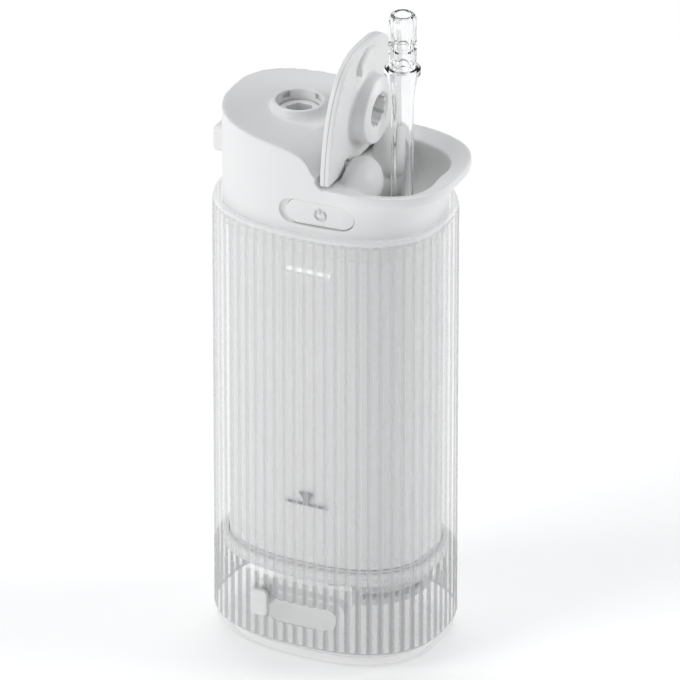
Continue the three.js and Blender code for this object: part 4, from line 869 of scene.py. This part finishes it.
def under_top(drop):
    """Everything below the head's top: the gentle slope, the steep shoulder, then the rim's level."""
    knots = []
    for i, (x, z) in enumerate(SHOULDER):
        side = drop / 2 if i < 3 else 0.0
        fall = drop / 2 if i == 1 else drop
        knots.append(Vector((STEP_X + x * MM - side, RIM_Z + z * MM - fall)))
    curve = through(knots, 8)
    below = HEAD_LOW.z - 3 * MM
    flat = [Vector((-FAR, below)), Vector((FAR, below)), Vector((FAR, RIM_Z - drop))]
    flat += curve
    flat.append(Vector((-FAR, RIM_Z + 13.4 * MM - drop)))
    return skin([[Vector((p.x, y, p.y)) for p in flat] for y in (FAR, -FAR)])


def rim_reach(angle):
    """Distance from the bay's axis to the outside of the rim."""
    near, far = 0.0, 2 * RIM_X
    for _ in range(30):
        reach = (near + far) / 2
        x, y = BAY_X + reach * math.cos(angle), reach * math.sin(angle)
        if abs(x / RIM_X) ** RIM_POWER + abs(y / RIM_Y) ** RIM_POWER < 1:
            near = reach
        else:
            far = reach
    return near


def bowl_point(edge, share, angle, depth):
    """Radius and depth below the rim: a trumpet at the left, a flat band over a deep wall elsewhere."""
    turn = QUARTER * share
    trumpet = Vector((edge - (edge - BAY_R) * math.sin(turn), depth * (1 - math.cos(turn))))
    crease = edge - BAND
    if share < BAND_SHARE:
        wide = Vector((edge - BAND * share / BAND_SHARE, BAND_DROP * share / BAND_SHARE))
    else:
        turn = QUARTER * (share - BAND_SHARE) / (1 - BAND_SHARE)
        straight = crease - (crease - BAY_R) * math.sin(turn)
        bulged = BAY_R + (crease - BAY_R) * math.cos(turn)
        steep = smooth(-0.6, 0.3, math.sin(angle) + math.cos(angle))
        radius = straight + (bulged - straight) * steep
        wide = Vector((radius, BAND_DROP + (depth - BAND_DROP) * math.sin(turn)))
    return trumpet.lerp(wide, 1 - smooth(0.15, 0.5, -math.cos(angle)))


def bowl(grow, drop, sizes):
    """The storage bowl, from the lip down to the round bay."""
    count, steps = 160, 20
    angles = [2 * math.pi * i / count for i in range(count)]
    reaches = []
    for angle in angles:
        left = -math.cos(angle)
        limit = (BAY_X - BOWL_LEFT) / left if left > 0.05 else 1.0
        reaches.append(min(rim_reach(angle) - sizes.lip, limit))

    def ring(share, z=None):
        made = []
        for angle, edge in zip(angles, reaches):
            radius, depth = bowl_point(edge, share, angle, sizes.bowl_depth)
            height = RIM_Z - depth - drop if z is None else z
            radius += grow
            made.append(Vector((BAY_X + radius * math.cos(angle), radius * math.sin(angle), height)))
        return made

    bottom = RIM_Z - sizes.bowl_depth - THROAT - (0 if grow > 0 else MM)
    rings = [ring(1, bottom)]
    rings += [ring(i / steps) for i in range(steps, -1, -1)]
    rings.append(ring(0, RIM_Z + 8 * MM))
    return skin(rings)


def mound(side):
    """The soft lump of the bowl's wall beside one end of the hinge."""
    made = bmesh.new()
    bmesh.ops.create_uvsphere(made, u_segments=48, v_segments=32, radius=1.0)
    centre = Vector((HINGE.x + 4.5 * MM, side * 9.6 * MM, RIM_Z - 3.0 * MM))
    reach = (6.0 * MM, 8.2 * MM, 7.2 * MM)
    made.transform(Matrix.Translation(centre) @ Matrix.Diagonal((*reach, 1.0)))
    return made


def ear(side):
    """One of the two eyes that hold the hinge pin."""
    inner, outer = 10.3 * MM, 12.3 * MM
    low, high = sorted((side * inner, side * outer))
    radius = 1.7 * MM
    made = raw("ear", box_at((HINGE.x - radius, low, RIM_Z - 3 * MM), (HINGE.x + radius, high, HINGE.z)))
    join(made, rod(radius, (HINGE.x, low, HINGE.z), (HINGE.x, high, HINGE.z)))
    return made


def taken(obj):
    """The object's mesh as a bmesh; the object goes."""
    held = bmesh.new()
    held.from_mesh(obj.data)
    bpy.data.objects.remove(obj)
    return held


def collar_form():
    """The nozzle collar with its wide foot, blended into the top."""
    foot = 4.2 * MM
    bottom = COLLAR_TOP - 9.9 * MM
    shoulder = COLLAR_TOP - 0.5 * MM
    profile = [(AXIS, bottom), (COLLAR_R, bottom), (COLLAR_R + foot, COLLAR_TOP - 5 * MM)]
    profile += quarter((COLLAR_R + foot, shoulder - 3 * MM), (COLLAR_R, shoulder), 8)
    profile += [(COLLAR_R - 0.15 * MM, COLLAR_TOP - 0.15 * MM), (COLLAR_R - 0.4 * MM, COLLAR_TOP)]
    profile.append((AXIS, COLLAR_TOP))
    return turned(profile, Vector((SOCKET_X, 0, 0)), 96)


def build_head(sizes):
    head = raw("head_moulding", head_column(0.0, HEAD_LOW.z))
    common(head, under_top(0.0))
    hollow = raw("hollow", head_column(sizes.wall, HEAD_LOW.z - MM))
    common(hollow, under_top(2 * MM))
    cut(hollow, bowl(1.5 * MM, 1.2 * MM, sizes))
    cut(head, taken(hollow))
    throat = RIM_Z - sizes.bowl_depth - THROAT
    join(head, rod(BAY_R + 1.5 * MM, (BAY_X, 0, throat), (BAY_X, 0, RIM_Z - 6 * MM), 96))
    cut(head, bowl(0.0, 0.0, sizes))
    for side in (-1, 1):
        lump = raw("lump", mound(side))
        common(lump, box_at((HINGE.x + 2.1 * MM, -FAR, RIM_Z - 12 * MM), (FAR, FAR, FAR * 4)))
        join(head, taken(lump))
    cut(head, rod(2.25 * MM, (HINGE.x, -FAR, HINGE.z), (HINGE.x, FAR, HINGE.z), 64))
    for side in (-1, 1):
        join(head, taken(ear(side)))
    join(head, collar_form())
    cut(head, rod(COLLAR_BORE, (SOCKET_X, 0, COLLAR_TOP - 11 * MM), (SOCKET_X, 0, COLLAR_TOP + MM), 96))
    remesh = head.modifiers.new("form", "REMESH")
    remesh.mode = "VOXEL"
    remesh.voxel_size = sizes.softness
    relax = head.modifiers.new("relax", "SMOOTH")
    relax.factor = 0.5
    relax.iterations = 4
    settle(head)
    openings(head)
    plastic = moulded("satin_white_head", sizes.paint, 0.42)
    dress(head, "main_unit", plastic, "white_head_plastic", "head_shell")


def wall_point(middle, sink):
    """Places (u, v, depth) on the head's curved front wall, at the power button's height."""
    def place(u, v, depth):
        x = middle + u
        return Vector((x, wall_y(x, sink) + depth, POWER_Z + v))
    return place


def openings(head):
    """Slots in the collar, the pin bore, and the windows of the buttons and the port."""
    for i in range(4):
        turned_by = Matrix.Rotation(math.radians(60 + 90 * i), 4, "Z")
        inner, outer = COLLAR_BORE - 0.7 * MM, COLLAR_BORE + 0.9 * MM
        slot = box_at((inner, -SLOT_U, -SLOT_V), (outer, SLOT_U, SLOT_V))
        slot.transform(Matrix.Translation((SOCKET_X, 0, COLLAR_TOP - 1.35 * MM)) @ turned_by)
        cut(head, slot)
    reach = 18.3 * MM
    cut(head, rod(MM, (HINGE.x, -reach, HINGE.z), (HINGE.x, reach, HINGE.z), 32))

    half_v = POWER_V + POWER_GAP
    levels = [(0, -FAR), (0, -HEAD_Y / 2)]
    cut(head, slab(POWER_U + POWER_GAP, half_v, half_v, levels, facing(POWER_X, POWER_Z), 12))
    half_v = POWER_V - 0.1 * MM
    dip = [(0, -FAR / 4), (-0.3 * MM, -0.05 * MM), (0.1 * MM, 0.5 * MM), (0.7 * MM, 0.9 * MM)]
    cut(head, slab(POWER_U, half_v, half_v, dip, wall_point(POWER_X - SCOOP, 0.0), 12))

    gap = 0.35 * MM
    levels = [(0, -FAR), (0, -HEAD_X / 2)]
    cut(head, slab(RELEASE_U + gap, RELEASE_V + gap, 1.8 * MM + gap, levels, end_facing(RELEASE_Z)))

    gap = 0.3 * MM
    back = facing(PORT_X, PORT_Z)
    half_v = PORT_SLOT_V + gap
    cut(head, slab(PORT_SLOT_U + gap, half_v, half_v, [(0, HEAD_Y / 2), (0, FAR)], back))
    half_v = (PORT_HIGH.z - PORT_LOW.z) / 2 + gap
    cut(head, slab(PORT_COVER_U + gap, half_v, half_v, [(0, HEAD_Y - 0.8 * MM), (0, FAR)], back))


def build_socket(paint):
    bottom, top = COLLAR_TOP - 9.6 * MM, SOCKET_HIGH.z
    radius = COLLAR_BORE - 0.3 * MM
    bore, stub, edge = 1.15 * MM, 2 * MM, 0.3 * MM
    profile = [
        (bore, SOCKET_LOW.z), (stub, SOCKET_LOW.z), (stub, bottom), (radius, bottom), (radius, top - edge),
        (radius - edge, top), (bore, top),
    ]
    socket = raw("nozzle_socket_body", turned(profile, Vector((SOCKET_X, 0, 0)), 96, loop=True))
    cut(socket, rod(4.05 * MM, (SOCKET_X, 0, top - 5.3 * MM), (SOCKET_X, 0, top + MM), 6))
    dress(socket, "main_unit", paint, "white_head_plastic", "nozzle_socket")


# ---------------------------------------------------------------- lid, drawn closed and turned open

LID_END = RIM_X + 2.8 * MM
LID_SIDE = RIM_Y - 1.6 * MM
BOSS_X = BAY_X - HINGE.x


def lid_ring(inset, z, start):
    """Outline of the lid at one level: the rim's curve, closed by the straight hinge side."""
    half_x, half_y, side = LID_END - inset, LID_SIDE - inset, start + inset
    low, high = 0.0, QUARTER
    for _ in range(40):
        middle = (low + high) / 2
        if radius_at(half_x, half_y, LID_POWER, middle) * math.cos(middle) > side:
            low = middle
        else:
            high = middle
    arc, count = [], 140
    for i in range(count + 1):
        angle = low * (2 * i / count - 1)
        radius = radius_at(half_x, half_y, LID_POWER, angle)
        arc.append(Vector((radius * math.cos(angle) - HINGE.x, radius * math.sin(angle), z)))
    straight = [arc[-1].lerp(arc[0], i / 12) for i in range(1, 12)]
    return arc + straight


def lid_open(obj):
    obj.data.transform(Matrix.Translation(HINGE) @ Matrix.Rotation(-LID_OPEN, 4, "Y"))
    return obj


def relief():
    """The space that the hinge ears need at the lid's hinge side."""
    ears = 12.9 * MM
    return box_at((-FAR, -ears, -FAR), (2.2 * MM, ears, FAR))


def build_lid_cover(sizes, paint):
    start = HINGE.x - sizes.layer - sizes.split
    top = sizes.split + sizes.layer
    edge = 0.75 * MM
    levels = [(0.1 * MM, sizes.split), (0, sizes.split + 0.08 * MM)]
    levels += [*quarter((0, top - edge), (edge, top), level=False), (3 * MM, top)]
    cover = raw("lid_outer_layer", skin([lid_ring(inset, z, start) for inset, z in levels]))
    cut(cover, relief())
    dress(lid_open(cover), "lid", paint, "white_head_plastic", "lid_cover")


def boss_ring(sizes, bottom):
    low = bottom - sizes.boss_height
    radius, edge, fillet = sizes.boss_radius, 0.7 * MM, 1.1 * MM
    root = -sizes.split - 0.3 * MM
    profile = [(AXIS, root), (radius + fillet, root)]
    profile += quarter((radius + fillet, bottom), (radius, bottom - fillet), 6)
    profile += quarter((radius, low + edge), (radius - edge, low), level=False)
    profile.append((AXIS, low))
    return turned(profile[::-1], Vector((BOSS_X, 0, 0)), 96)


def tip_holder_hole(sizes, bottom):
    """Six-sided hole with a notch in each side, and a wide mouth."""
    centre = Vector((BOSS_X, 0, 0))
    low = bottom - sizes.boss_height

    def bend(radius, z, angle):
        if z > low + 0.6 * MM:
            sector = (angle + math.pi / 6) % (math.pi / 3) - math.pi / 6
            flat = radius * 0.9 / math.cos(sector)
            notch = 0.9 * MM * smooth(0.86, 0.96, math.cos(3 * angle) ** 2)
            return min(flat, radius) + notch
        return radius

    mouth, hole = 5.3 * MM, 4.6 * MM
    levels = [(mouth, low - MM), (mouth, low + 0.01 * MM), (hole + 0.1 * MM, low + 0.6 * MM)]
    levels += [(hole, low + 0.7 * MM), (hole, bottom)]
    return turned(levels, centre, 144, bend=bend)


def lid_pad(bottom):
    """The raised pad by the lid's far edge."""
    radius = 8.3 * MM
    centre = Vector((LID_END - HINGE.x - 1.4 * MM - radius, 0, 0))
    low, edge = bottom - 1.4 * MM, 0.8 * MM
    root, half = bottom + 0.3 * MM, 6.3 * MM
    profile = [(AXIS, low), *quarter((radius - edge, low), (radius, low + edge))]
    profile += [(radius, root), (AXIS, root)]
    pad = raw("pad", turned(profile, centre, 96))
    common(pad, box_at((24.8 * MM, -half, -FAR), (FAR, half, FAR)))
    return taken(pad)


def build_lid_liner(sizes, paint):
    start = HINGE.x - sizes.layer - sizes.split
    bottom = -sizes.split - sizes.layer
    inset, edge = 0.1 * MM, 0.5 * MM
    levels = [(inset + 2 * MM, bottom), *quarter((inset + edge, bottom), (inset, bottom + edge))]
    levels += [(inset, -sizes.split - 0.1 * MM), (inset + 0.1 * MM, -sizes.split)]
    liner = raw("lid_inner_layer", skin([lid_ring(step, z, start) for step, z in levels]))
    cut(liner, relief())
    reach = 10 * MM
    join(liner, box_at((0, -reach, bottom), (2.9 * MM, reach, -sizes.split)))
    join(liner, rod(sizes.layer + sizes.split, (0, -reach, 0), (0, reach, 0), 64))
    join(liner, boss_ring(sizes, bottom))
    join(liner, lid_pad(bottom))
    cut(liner, tip_holder_hole(sizes, bottom))
    reach = PIN_HIGH.y + 0.3 * MM
    cut(liner, rod(MM, (0, -reach, 0), (0, reach, 0), 32))
    dress(lid_open(liner), "lid", paint, "white_head_plastic", "lid_liner")


# ---------------------------------------------------------------- ear tip


def build_tip(sizes):
    low, high = TIP_LOW.z, TIP_HIGH.z
    shaft, flange, socket = sizes.shaft_radius, sizes.flange_radius, sizes.connector_radius
    flange_top = high - sizes.connector_length
    flange_low = flange_top - 2.2 * MM
    taper_low = flange_low - 10.4 * MM
    groove = high - 9.6 * MM
    jet, bore = 0.7 * MM, 2.3 * MM
    neck = socket - 0.5 * MM
    profile = [
        (jet, low), (shaft - 1.1 * MM, low), (shaft - 0.7 * MM, low + 0.3 * MM), (shaft - 0.5 * MM, low + MM),
        (shaft, low + 12 * MM), (shaft, taper_low),
    ]
    for i in range(1, 9):
        share = i / 8
        radius = shaft + (flange - 0.6 * MM - shaft) * share ** 1.8
        profile.append((radius, taper_low + (flange_low - taper_low) * share))
    profile += [
        (flange, flange_low + 0.3 * MM), (flange, flange_top - 0.4 * MM), (flange - 0.4 * MM, flange_top),
        (socket, flange_top + 0.05 * MM), (socket, groove - 0.6 * MM), (neck, groove - 0.25 * MM),
        (neck, groove + 0.25 * MM), (socket, groove + 0.6 * MM), (socket, high - 1.6 * MM),
        (socket - 0.1 * MM, high - 0.9 * MM), (socket - 0.35 * MM, high - 0.3 * MM),
        (socket - 0.7 * MM, high), (bore + 0.15 * MM, high), (bore, high - 0.15 * MM), (bore, flange_low),
        (1.95 * MM, taper_low), (1.7 * MM, low + 14 * MM), (jet, low + 7 * MM),
    ]

    def bend(radius, z, angle):
        if z < flange_top + 0.02 * MM or radius < bore + 0.3 * MM:
            return radius
        sector = (angle + math.pi / 6) % (math.pi / 3) - math.pi / 6
        share = smooth(flange_top, flange_top + 1.5 * MM, z) * (1 - smooth(high - 3 * MM, high, z))
        return radius * (1 + share * (0.9 / math.cos(sector) - 1))

    tip = raw("clear_ear_tip", turned(profile, Vector((BAY_X, 0, 0)), 96, loop=True, bend=bend))
    plastic = crystal("clear_tip", sizes.tint)
    dress(tip, "ear_tip", plastic, "clear_tip_plastic", "ear_tip", crease=28.0)


# ---------------------------------------------------------------- controls


def build_power(sizes, paint):
    flange = 1.1 * MM
    levels = [(inset * MM, 0) for inset in (3.4, 2.8, 2.1, 1.4, 0.8)]
    levels += [*soft_edge(0.45 * MM, 0, 1), (0, 1.9 * MM), (-flange, 1.95 * MM), (-flange, 2.9 * MM)]
    place = wall_point(POWER_X, sizes.sink)
    button = raw("power_button_face", slab(POWER_U, POWER_V, POWER_V, levels, place, 14))
    join(button, rod(1.6 * MM, (POWER_X, -HEAD_Y + 2 * MM, POWER_Z), (POWER_X, BUTTON_HIGH.y, POWER_Z), 32))
    dress(button, "power_button", paint, "white_head_plastic", "power_button")


def printed_line(path, half, front, back, place):
    """A flat printed line along a path of (u, v) points."""
    rings = []
    for i, (u, v) in enumerate(path):
        before, after = path[max(i - 1, 0)], path[min(i + 1, len(path) - 1)]
        along = Vector((after[0] - before[0], after[1] - before[1])).normalized()
        nu, nv = -along.y * half, along.x * half
        rings.append([
            place(u + nu, v + nv, front), place(u - nu, v - nv, front),
            place(u - nu, v - nv, back), place(u + nu, v + nv, back),
        ])
    return skin(rings)


def build_symbol(sizes):
    place = wall_point(POWER_X, sizes.sink)
    radius, half = sizes.symbol, 0.2 * MM
    arc = []
    for i in range(33):
        angle = math.radians(130 + 280 * i / 32)
        arc.append((radius * math.cos(angle), radius * math.sin(angle)))
    symbol = raw("power_symbol", printed_line(arc, half, -0.04 * MM, 0.1 * MM, place))
    bar = [(0.0, radius * (0.25 + 0.95 * i / 4)) for i in range(5)]
    extra = raw("bar", printed_line(bar, half, -0.04 * MM, 0.1 * MM, place))
    join(symbol, taken(extra))
    dress(symbol, "power_button", printed("symbol_ink", (0.64, 0.64, 0.65)), "grey_mark_print")


def build_release(paint):
    front, back = RELEASE_LOW.x, -HEAD_X + 4 * MM
    levels = [(2.6 * MM, 0), (1.5 * MM, 0), *soft_edge(0.7 * MM, 0, 1), (0, back - front)]
    cap = slab(RELEASE_U, RELEASE_V, 1.8 * MM, levels, end_facing(RELEASE_Z, front), 10)
    button = raw("release_button_cap", cap)
    x, reach = front - 0.1 * MM, 4.6 * MM
    for rise in (-1.3, 0.0, 1.3):
        z = RELEASE_Z + rise * MM
        cut(button, rod(0.35 * MM, (x, -reach, z), (x, reach, z), 20))
    dress(button, "release_button", paint, "white_head_plastic", "release_button")


def build_port_cover():
    outer, inner = PORT_HIGH.y, PORT_LOW.y
    half_v = (PORT_HIGH.z - PORT_LOW.z) / 2
    half_u = (PORT_HIGH.x - PORT_LOW.x) / 2
    levels = [(2.5 * MM, outer), *soft_edge(0.4 * MM, outer, -1), (0, inner)]
    cover = raw("port_cover_flap", slab(half_u, half_v, half_v, levels, facing(PORT_X, PORT_Z), 14))
    nick = [(0, outer - 0.3 * MM), (0, outer + MM)]
    cut(cover, slab(2.2 * MM, 0.5 * MM, 0.5 * MM, nick, facing(PORT_X, PORT_Z + 2.4 * MM)))
    silicone = rubber("cover_silicone", (0.84, 0.84, 0.835))
    dress(cover, "port_cover", silicone, "white_silicone", "port_cover")


# ---------------------------------------------------------------- frame nodes that keep their shape


def repaint(names, material):
    for name in names:
        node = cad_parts[name]
        if not node.material_slots:
            node.data.materials.append(material)
        for holder in node.material_slots:
            holder.material = material


def build_inside(body_paint):
    gear = moulded("gear_plastic", (0.72, 0.71, 0.67), 0.45, grain=0.02 * MM, tone=0.05)
    steel = metal("steel", (0.72, 0.72, 0.73), 0.28, (1.0, 1.0, 14.0))
    tube = rubber("hose_silicone", (0.86, 0.86, 0.85), 0.4)
    repaint(["power_switch", "release_latch", "motor_pinion", "drive_gear", "connecting_rod", "piston"], gear)
    repaint([f"cap_screw_{i}" for i in range(1, 5)], steel)
    repaint(["hinge_pin", "charging_port", "gear_axle", "wrist_pin"], steel)
    repaint(["motor"], metal("motor_can", (0.62, 0.63, 0.64), 0.35, (1.0, 9.0, 1.0)))
    repaint(["intake_hose", "outlet_hose"], tube)
    repaint(["pump_frame", "pump_cylinder", "intake_housing", "storage_tube"], body_paint)
    repaint(["socket_seal"], rubber("socket_rubber", (0.55, 0.56, 0.565)))
    repaint(["intake_filter"], moulded("filter_plastic", (0.33, 0.34, 0.35), 0.6, grain=0.04 * MM, tone=0.08))
    repaint(["battery"], wrapped("cell_wrap", (0.06, 0.17, 0.36)))
    repaint(["circuit_board"], laminate("board_laminate", (0.02, 0.13, 0.05)))
    repaint(["level_line", "level_triangle"], printed("level_ink", (0.27, 0.28, 0.285)))
    repaint(["indicator_light"], glowing("light_guide", (0.9, 0.9, 0.9)))


# ---------------------------------------------------------------- stage

LENS = 560
TARGET = Vector((0, 0, 0.06515))
SHIFT_UP = 0.01936
SHIFT_RIGHT = 0.00116


def build_stage(sizes):
    scene = bpy.context.scene
    scene.view_settings.view_transform = "Standard"
    made = bmesh.new()
    bmesh.ops.create_grid(made, x_segments=24, y_segments=24, size=14.0)
    floor = raw("studio_floor", made)
    recipe = Recipe("floor_paint")
    drift = recipe.noise(1.5, 2.0)
    recipe.surface({
        "Base Color": recipe.mix(drift, shade(sizes.floor, 0.995), shade(sizes.floor)),
        "Roughness": 0.8 + 0.05 * (drift - 0.5),
        "Specular IOR Level": 0.1,
        "Emission Color": shade(1.0),
        "Emission Strength": 0.25,
    })
    floor.data.materials.append(recipe.material)

    world = bpy.data.worlds.new("studio")
    world.use_nodes = True
    background = world.node_tree.nodes["Background"]
    background.inputs["Color"].default_value = (0.95, 0.97, 1.0, 1.0)
    background.inputs["Strength"].default_value = 0.30
    scene.world = world

    lamp("front_softbox", (-1.03, -1.22, 0.8), 1.0, 14.5)
    lamp("right_softbox", (1.45, 0.68, 0.7), 0.9, 11.0)
    lamp("top_softbox", (-0.3, 0.5, 1.7), 1.2, 9.0)

    azimuth, elevation = sizes.azimuth, sizes.elevation
    back = Vector((
        math.sin(azimuth) * math.cos(elevation), -math.cos(azimuth) * math.cos(elevation), math.sin(elevation)
    ))
    right = Vector((math.cos(azimuth), math.sin(azimuth), 0))
    up = back.cross(right)
    camera = bpy.data.objects.new("camera", bpy.data.cameras.new("camera"))
    scene.collection.objects.link(camera)
    camera.data.lens = LENS
    camera.data.sensor_width = 36
    camera.data.clip_start = 0.1
    camera.data.clip_end = 40
    camera.rotation_euler = back.to_track_quat("Z", "Y").to_euler()
    camera.location = TARGET + back * sizes.distance + up * SHIFT_UP + right * SHIFT_RIGHT
    scene.camera = camera


def lamp(name, place, size, power):
    light = bpy.data.lights.new(name, "AREA")
    light.shape = "DISK"
    light.size = size
    light.energy = power
    holder = bpy.data.objects.new(name, light)
    holder.location = place
    aim = Vector(place) - Vector((0, 0, 0.08))
    holder.rotation_euler = aim.to_track_quat("Z", "Y").to_euler()
    bpy.context.scene.collection.objects.link(holder)


# ---------------------------------------------------------------- operators, panel and registration


def shared(name, paint, roughness=0.42):
    """The plastic of this name, made once."""
    return bpy.data.materials.get(name) or moulded(name, paint, roughness)


class IRRIGATOR_OT_stage(bpy.types.Operator):
    """Adds the floor, the soft lights and the camera"""

    bl_idname = "irrigator.stage"
    bl_label = "Stage"

    def execute(self, context):
        build_stage(context.scene.irrigator_stage)
        return {"FINISHED"}


class IRRIGATOR_OT_reservoir(bpy.types.Operator):
    """Builds the clear ribbed reservoir with its finger pocket"""

    bl_idname = "irrigator.reservoir"
    bl_label = "Reservoir"

    def execute(self, context):
        build_reservoir(context.scene.irrigator_reservoir)
        return {"FINISHED"}


class IRRIGATOR_OT_plug(bpy.types.Operator):
    """Builds the fill plug in the reservoir's front"""

    bl_idname = "irrigator.plug"
    bl_label = "Fill plug"

    def execute(self, context):
        build_plug()
        return {"FINISHED"}


class IRRIGATOR_OT_body(bpy.types.Operator):
    """Builds the telescoping inner body, its cap and its seal"""

    bl_idname = "irrigator.body"
    bl_label = "Inner body"

    def execute(self, context):
        sizes = context.scene.irrigator_body
        paint = shared("white_body", sizes.paint, 0.5)
        build_body(sizes, paint)
        build_cap(sizes, paint)
        build_seal()
        return {"FINISHED"}


class IRRIGATOR_OT_head(bpy.types.Operator):
    """Builds the head with the storage bowl, hinge ears and nozzle collar"""

    bl_idname = "irrigator.head"
    bl_label = "Head"

    def execute(self, context):
        sizes = context.scene.irrigator_head
        build_head(sizes)
        build_socket(shared("satin_white_parts", sizes.paint))
        return {"FINISHED"}


class IRRIGATOR_OT_lid(bpy.types.Operator):
    """Builds the two layers of the lid, open on its hinge"""

    bl_idname = "irrigator.lid"
    bl_label = "Lid"

    def execute(self, context):
        paint = shared("satin_white_parts", context.scene.irrigator_head.paint)
        build_lid_cover(context.scene.irrigator_lid, paint)
        build_lid_liner(context.scene.irrigator_lid, paint)
        return {"FINISHED"}


class IRRIGATOR_OT_tip(bpy.types.Operator):
    """Builds the clear ear tip"""

    bl_idname = "irrigator.tip"
    bl_label = "Ear tip"

    def execute(self, context):
        build_tip(context.scene.irrigator_tip)
        return {"FINISHED"}


class IRRIGATOR_OT_controls(bpy.types.Operator):
    """Builds the power button with its symbol, the release button and the port cover"""

    bl_idname = "irrigator.controls"
    bl_label = "Controls"

    def execute(self, context):
        paint = shared("satin_white_parts", context.scene.irrigator_head.paint)
        build_power(context.scene.irrigator_controls, paint)
        build_symbol(context.scene.irrigator_controls)
        build_release(paint)
        build_port_cover()
        return {"FINISHED"}


class IRRIGATOR_OT_inside(bpy.types.Operator):
    """Gives the drive, pump, battery and small parts their materials"""

    bl_idname = "irrigator.inside"
    bl_label = "Inside parts"

    def execute(self, context):
        build_inside(shared("white_body", context.scene.irrigator_body.paint, 0.5))
        return {"FINISHED"}


class IRRIGATOR_PT_panel(bpy.types.Panel):
    bl_label = "Ear irrigator"
    bl_idname = "IRRIGATOR_PT_panel"
    bl_space_type = "VIEW_3D"
    bl_region_type = "UI"
    bl_category = "Irrigator"

    def draw(self, context):
        for operator in OPERATORS:
            self.layout.operator(operator.bl_idname)
        for group in GROUPS:
            sizes = getattr(context.scene, group)
            column = self.layout.column(heading=group)
            for name in GROUPS[group].__annotations__:
                column.prop(sizes, name)


OPERATORS = (
    IRRIGATOR_OT_stage, IRRIGATOR_OT_reservoir, IRRIGATOR_OT_plug, IRRIGATOR_OT_body, IRRIGATOR_OT_head,
    IRRIGATOR_OT_lid, IRRIGATOR_OT_tip, IRRIGATOR_OT_controls, IRRIGATOR_OT_inside,
)
GROUPS = {
    "irrigator_stage": StageSizes,
    "irrigator_reservoir": ReservoirSizes,
    "irrigator_body": BodySizes,
    "irrigator_head": HeadSizes,
    "irrigator_lid": LidSizes,
    "irrigator_tip": TipSizes,
    "irrigator_controls": ControlSizes,
}


def register():
    for kind in (*GROUPS.values(), *OPERATORS, IRRIGATOR_PT_panel):
        bpy.utils.register_class(kind)
    for name, kind in GROUPS.items():
        setattr(bpy.types.Scene, name, bpy.props.PointerProperty(type=kind))


def unregister():
    for name in GROUPS:
        delattr(bpy.types.Scene, name)
    for kind in (IRRIGATOR_PT_panel, *OPERATORS, *GROUPS.values()):
        bpy.utils.unregister_class(kind)


def main():
    register()
    for operator in OPERATORS:
        group, name = operator.bl_idname.split(".")
        getattr(getattr(bpy.ops, group), name)()


if __name__ == "__main__":
    main()
